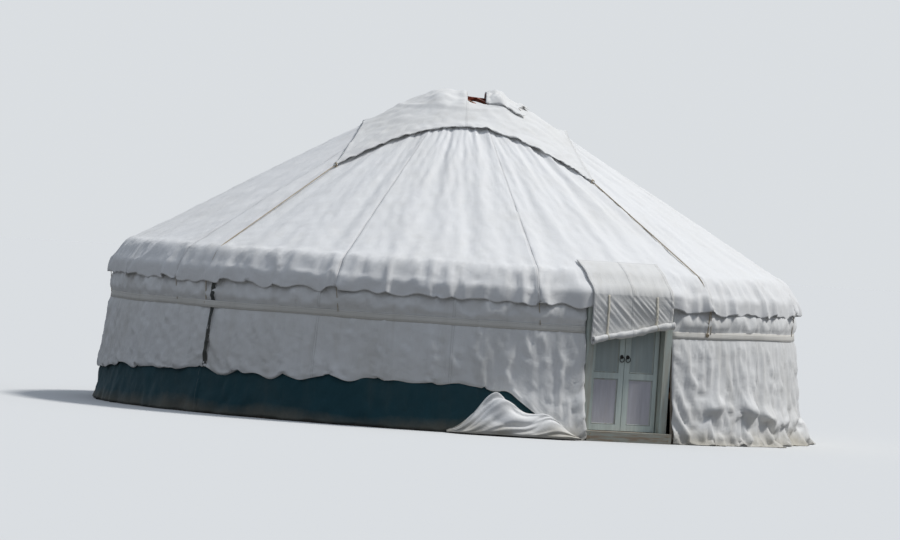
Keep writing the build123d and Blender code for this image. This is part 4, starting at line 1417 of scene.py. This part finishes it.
rope_parts = []
corner_reach = math.hypot(CROWN_HALF, CROWN_HALF)
for corner in range(4):
    angle = math.degrees(CROWN_TURN) + 45 + 90 * corner
    path = down_the_roof(angle, corner_reach - 0.06, 1.44, 0.010)
    belt_spot = around(angle, float(chord(angle, wall_radius(BELT_TOP))) + 0.018, BELT_TOP - 0.03)
    eave_spot = around(angle, float(chord(angle, wall_radius(1.39))) + 0.062, 1.40)
    rope_parts.append(twisted(path + [eave_spot, belt_spot], ROPE_RADIUS))
    aim = outward(angle)
    across = np.array([-aim[1], aim[0], 0.0])
    for spot, size in ((path[0], 0.020), (belt_spot, 0.017)):
        loops = []
        for turn in range(3):
            tall = np.array([0, 0, 1.0]) * size * (0.6 + 0.25 * turn)
            ring = [
                spot + across * size * math.cos(a) + tall * math.sin(a)
                + aim * 0.006 * math.sin(2 * a + turn)
                for a in np.linspace(0, 2 * math.pi, 15)[:-1]
            ]
            loops.append(tube(ring, 0.0055, 6, closed=True))
        rope_parts.append(joined(loops))
for sector in range(SECTORS):
    angle = bay_angle(WALL_BAYS - 1) + sector * 4 * BAY
    high = around(angle, float(chord(angle, wall_radius(1.40))) + 0.052, 1.395)
    aslant = angle + 0.5
    low = around(aslant, float(chord(aslant, wall_radius(BELT_TOP))) + 0.014, BELT_TOP - 0.02)
    rope_parts.append(twisted([high, 0.5 * (high + low), low], TIE_RADIUS, lay=0.04))
ropes = closed_mesh("roof_ropes", *joined(rope_parts), rope_finish)
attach(ropes, "tent")


# The door flap. A doubled length of canvas that lies on the roof's edge over the door; by day
# it is rolled up from below, slantwise, and tied with two tapes.
FLAP_HALF = DOOR_HALF_WIDTH - 0.027
FLAP_LEFT, FLAP_RIGHT = WALL_HEIGHT - 0.455, WALL_HEIGHT - 0.260
ROLL_RADIUS = 0.034
ROLL_CORE = 0.012
ROLL_TURNS = 2.4
HANG = FRAME_FRONT + 0.030
HANG_TOP = 1.500
HANG_ROWS = 42
FLAP_COLUMNS = 81
TAPES = (-0.30, 0.28)
flap_line, flap_along = walked(roof_profile(OUTER_LIFT + 0.016), 90)
on_roof = flap_line[(flap_line[:, 1] > 1.53) & (flap_along < 0.62)]
across = np.linspace(-FLAP_HALF, FLAP_HALF, FLAP_COLUMNS)
roll_middle = (FLAP_LEFT + FLAP_RIGHT) / 2 + (FLAP_RIGHT - FLAP_LEFT) / 2 * across / FLAP_HALF
rows = []
winding = np.linspace(0, ROLL_TURNS, 62)
pinched = sum(np.exp(-((across - aside) / 0.045) ** 2) for aside in TAPES)
roll_middle = roll_middle - 0.012 * (1 - pinched) * np.cos(np.pi * across / 0.58) ** 2
for turn in winding:
    size = ROLL_CORE + (ROLL_RADIUS - ROLL_CORE) * turn / winding[-1]
    bulge = 1 + 0.13 * rumples(across, 0 * across + 0.03 * turn, 101, 0.20, 1.0)
    bulge = (bulge + 0.04 * math.sin(5 * turn)) * (1 - 0.20 * pinched)
    a = 2 * math.pi * (turn - winding[-1])
    rows.append(np.stack([
        across + 0.004 * math.sin(9 * turn),
        -(HANG + ROLL_RADIUS - size * bulge * math.cos(a)),
        roll_middle + size * bulge * math.sin(a),
    ], axis=-1))
for share in np.linspace(0.05, 1, HANG_ROWS):
    z = roll_middle + share * (HANG_TOP - roll_middle)
    pulled = rumples(across + 1.1 * z, 0.25 * z, 102, 0.16, 0.6)
    ripple = 0.007 * np.abs(pulled) * math.sin(math.pi * min(share, 0.9))
    ripple = ripple + 0.016 * share * (1 - share) + 0.006 * pinched * (1 - share) ** 2
    rows.append(np.stack([across, -(HANG + ripple), z], axis=-1))
for r, z in on_roof:
    y = np.sqrt(np.maximum(chord(270 + np.degrees(across / r), r) ** 2 - across ** 2, 0))
    w = 1 - eased(np.full_like(across, z), 1.50, 1.66)
    y = y + 0.003 * rumples(across, 0 * across + z, 103, 0.2, 0.3)
    y = y * (1 - w) + np.maximum(y, HANG) * w
    rows.append(np.stack([across, -y, np.full_like(across, z)], axis=-1))
flap_grid = np.stack(rows)
flap_finish = canvas_finish(
    "flap_canvas", (0.78, 0.775, 0.755), SMUDGE,
    dirt=0.55, foot=0.1, crease=0.010, seams=(0.02, 0.48, 0.94))
middle = flap_grid[:, FLAP_COLUMNS // 2]
length = float(np.linalg.norm(np.diff(middle, axis=0), axis=1).sum())
flap = cloth("door_flap_canvas", flap_grid, (2 * FLAP_HALF, length), flap_finish)
thickened(flap, 0.005)
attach(flap, "tent")
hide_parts("door_flap")

TAPE_HALF = 0.013
TAPE_SECTION = (
    (-TAPE_HALF, -0.0015), (TAPE_HALF, -0.0015),
    (TAPE_HALF, 0.0010), (-TAPE_HALF, 0.0010),
)
tapes = []
last_turn = [i for i, turn in enumerate(winding) if turn > winding[-1] - 0.97]
for aside in TAPES:
    beside = np.abs(across - aside) < 0.016
    seat = flap_grid[:, beside].mean(axis=1)
    front = flap_grid[:, beside][..., 1].min(axis=1)
    centre = np.array([-(HANG + ROLL_RADIUS), float(np.interp(aside, across, roll_middle))])
    path = []
    for i in last_turn:
        arm = seat[i, 1:] - centre
        path.append((centre + arm * (1 + 0.004 / np.linalg.norm(arm)), arm / np.linalg.norm(arm)))
    for i in range(len(winding), len(winding) + HANG_ROWS - 1, 2):
        path.append((np.array([front[i] - 0.0035, seat[i, 2]]), np.array([-1.0, 0.0])))
    spots, faces = [], []
    for spot, normal in path:
        for dx, thick in TAPE_SECTION:
            spots.append((aside + dx, *(spot + normal * thick)))
    for i in range(0, 4 * (len(path) - 1), 4):
        for k in range(4):
            m = (k + 1) % 4
            faces.append((i + k, i + m, i + 4 + m, i + 4 + k))
    faces += [(0, 1, 2, 3), tuple(4 * (len(path) - 1) + k for k in (3, 2, 1, 0))]
    tapes.append((spots, faces))
tape_finish = plain_finish("tape", (0.70, 0.66, 0.56), rough=0.9, mottle=0.15, scale=60)
flap_tapes = closed_mesh("flap_tapes", *joined(tapes), tape_finish)
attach(flap_tapes, "tent")
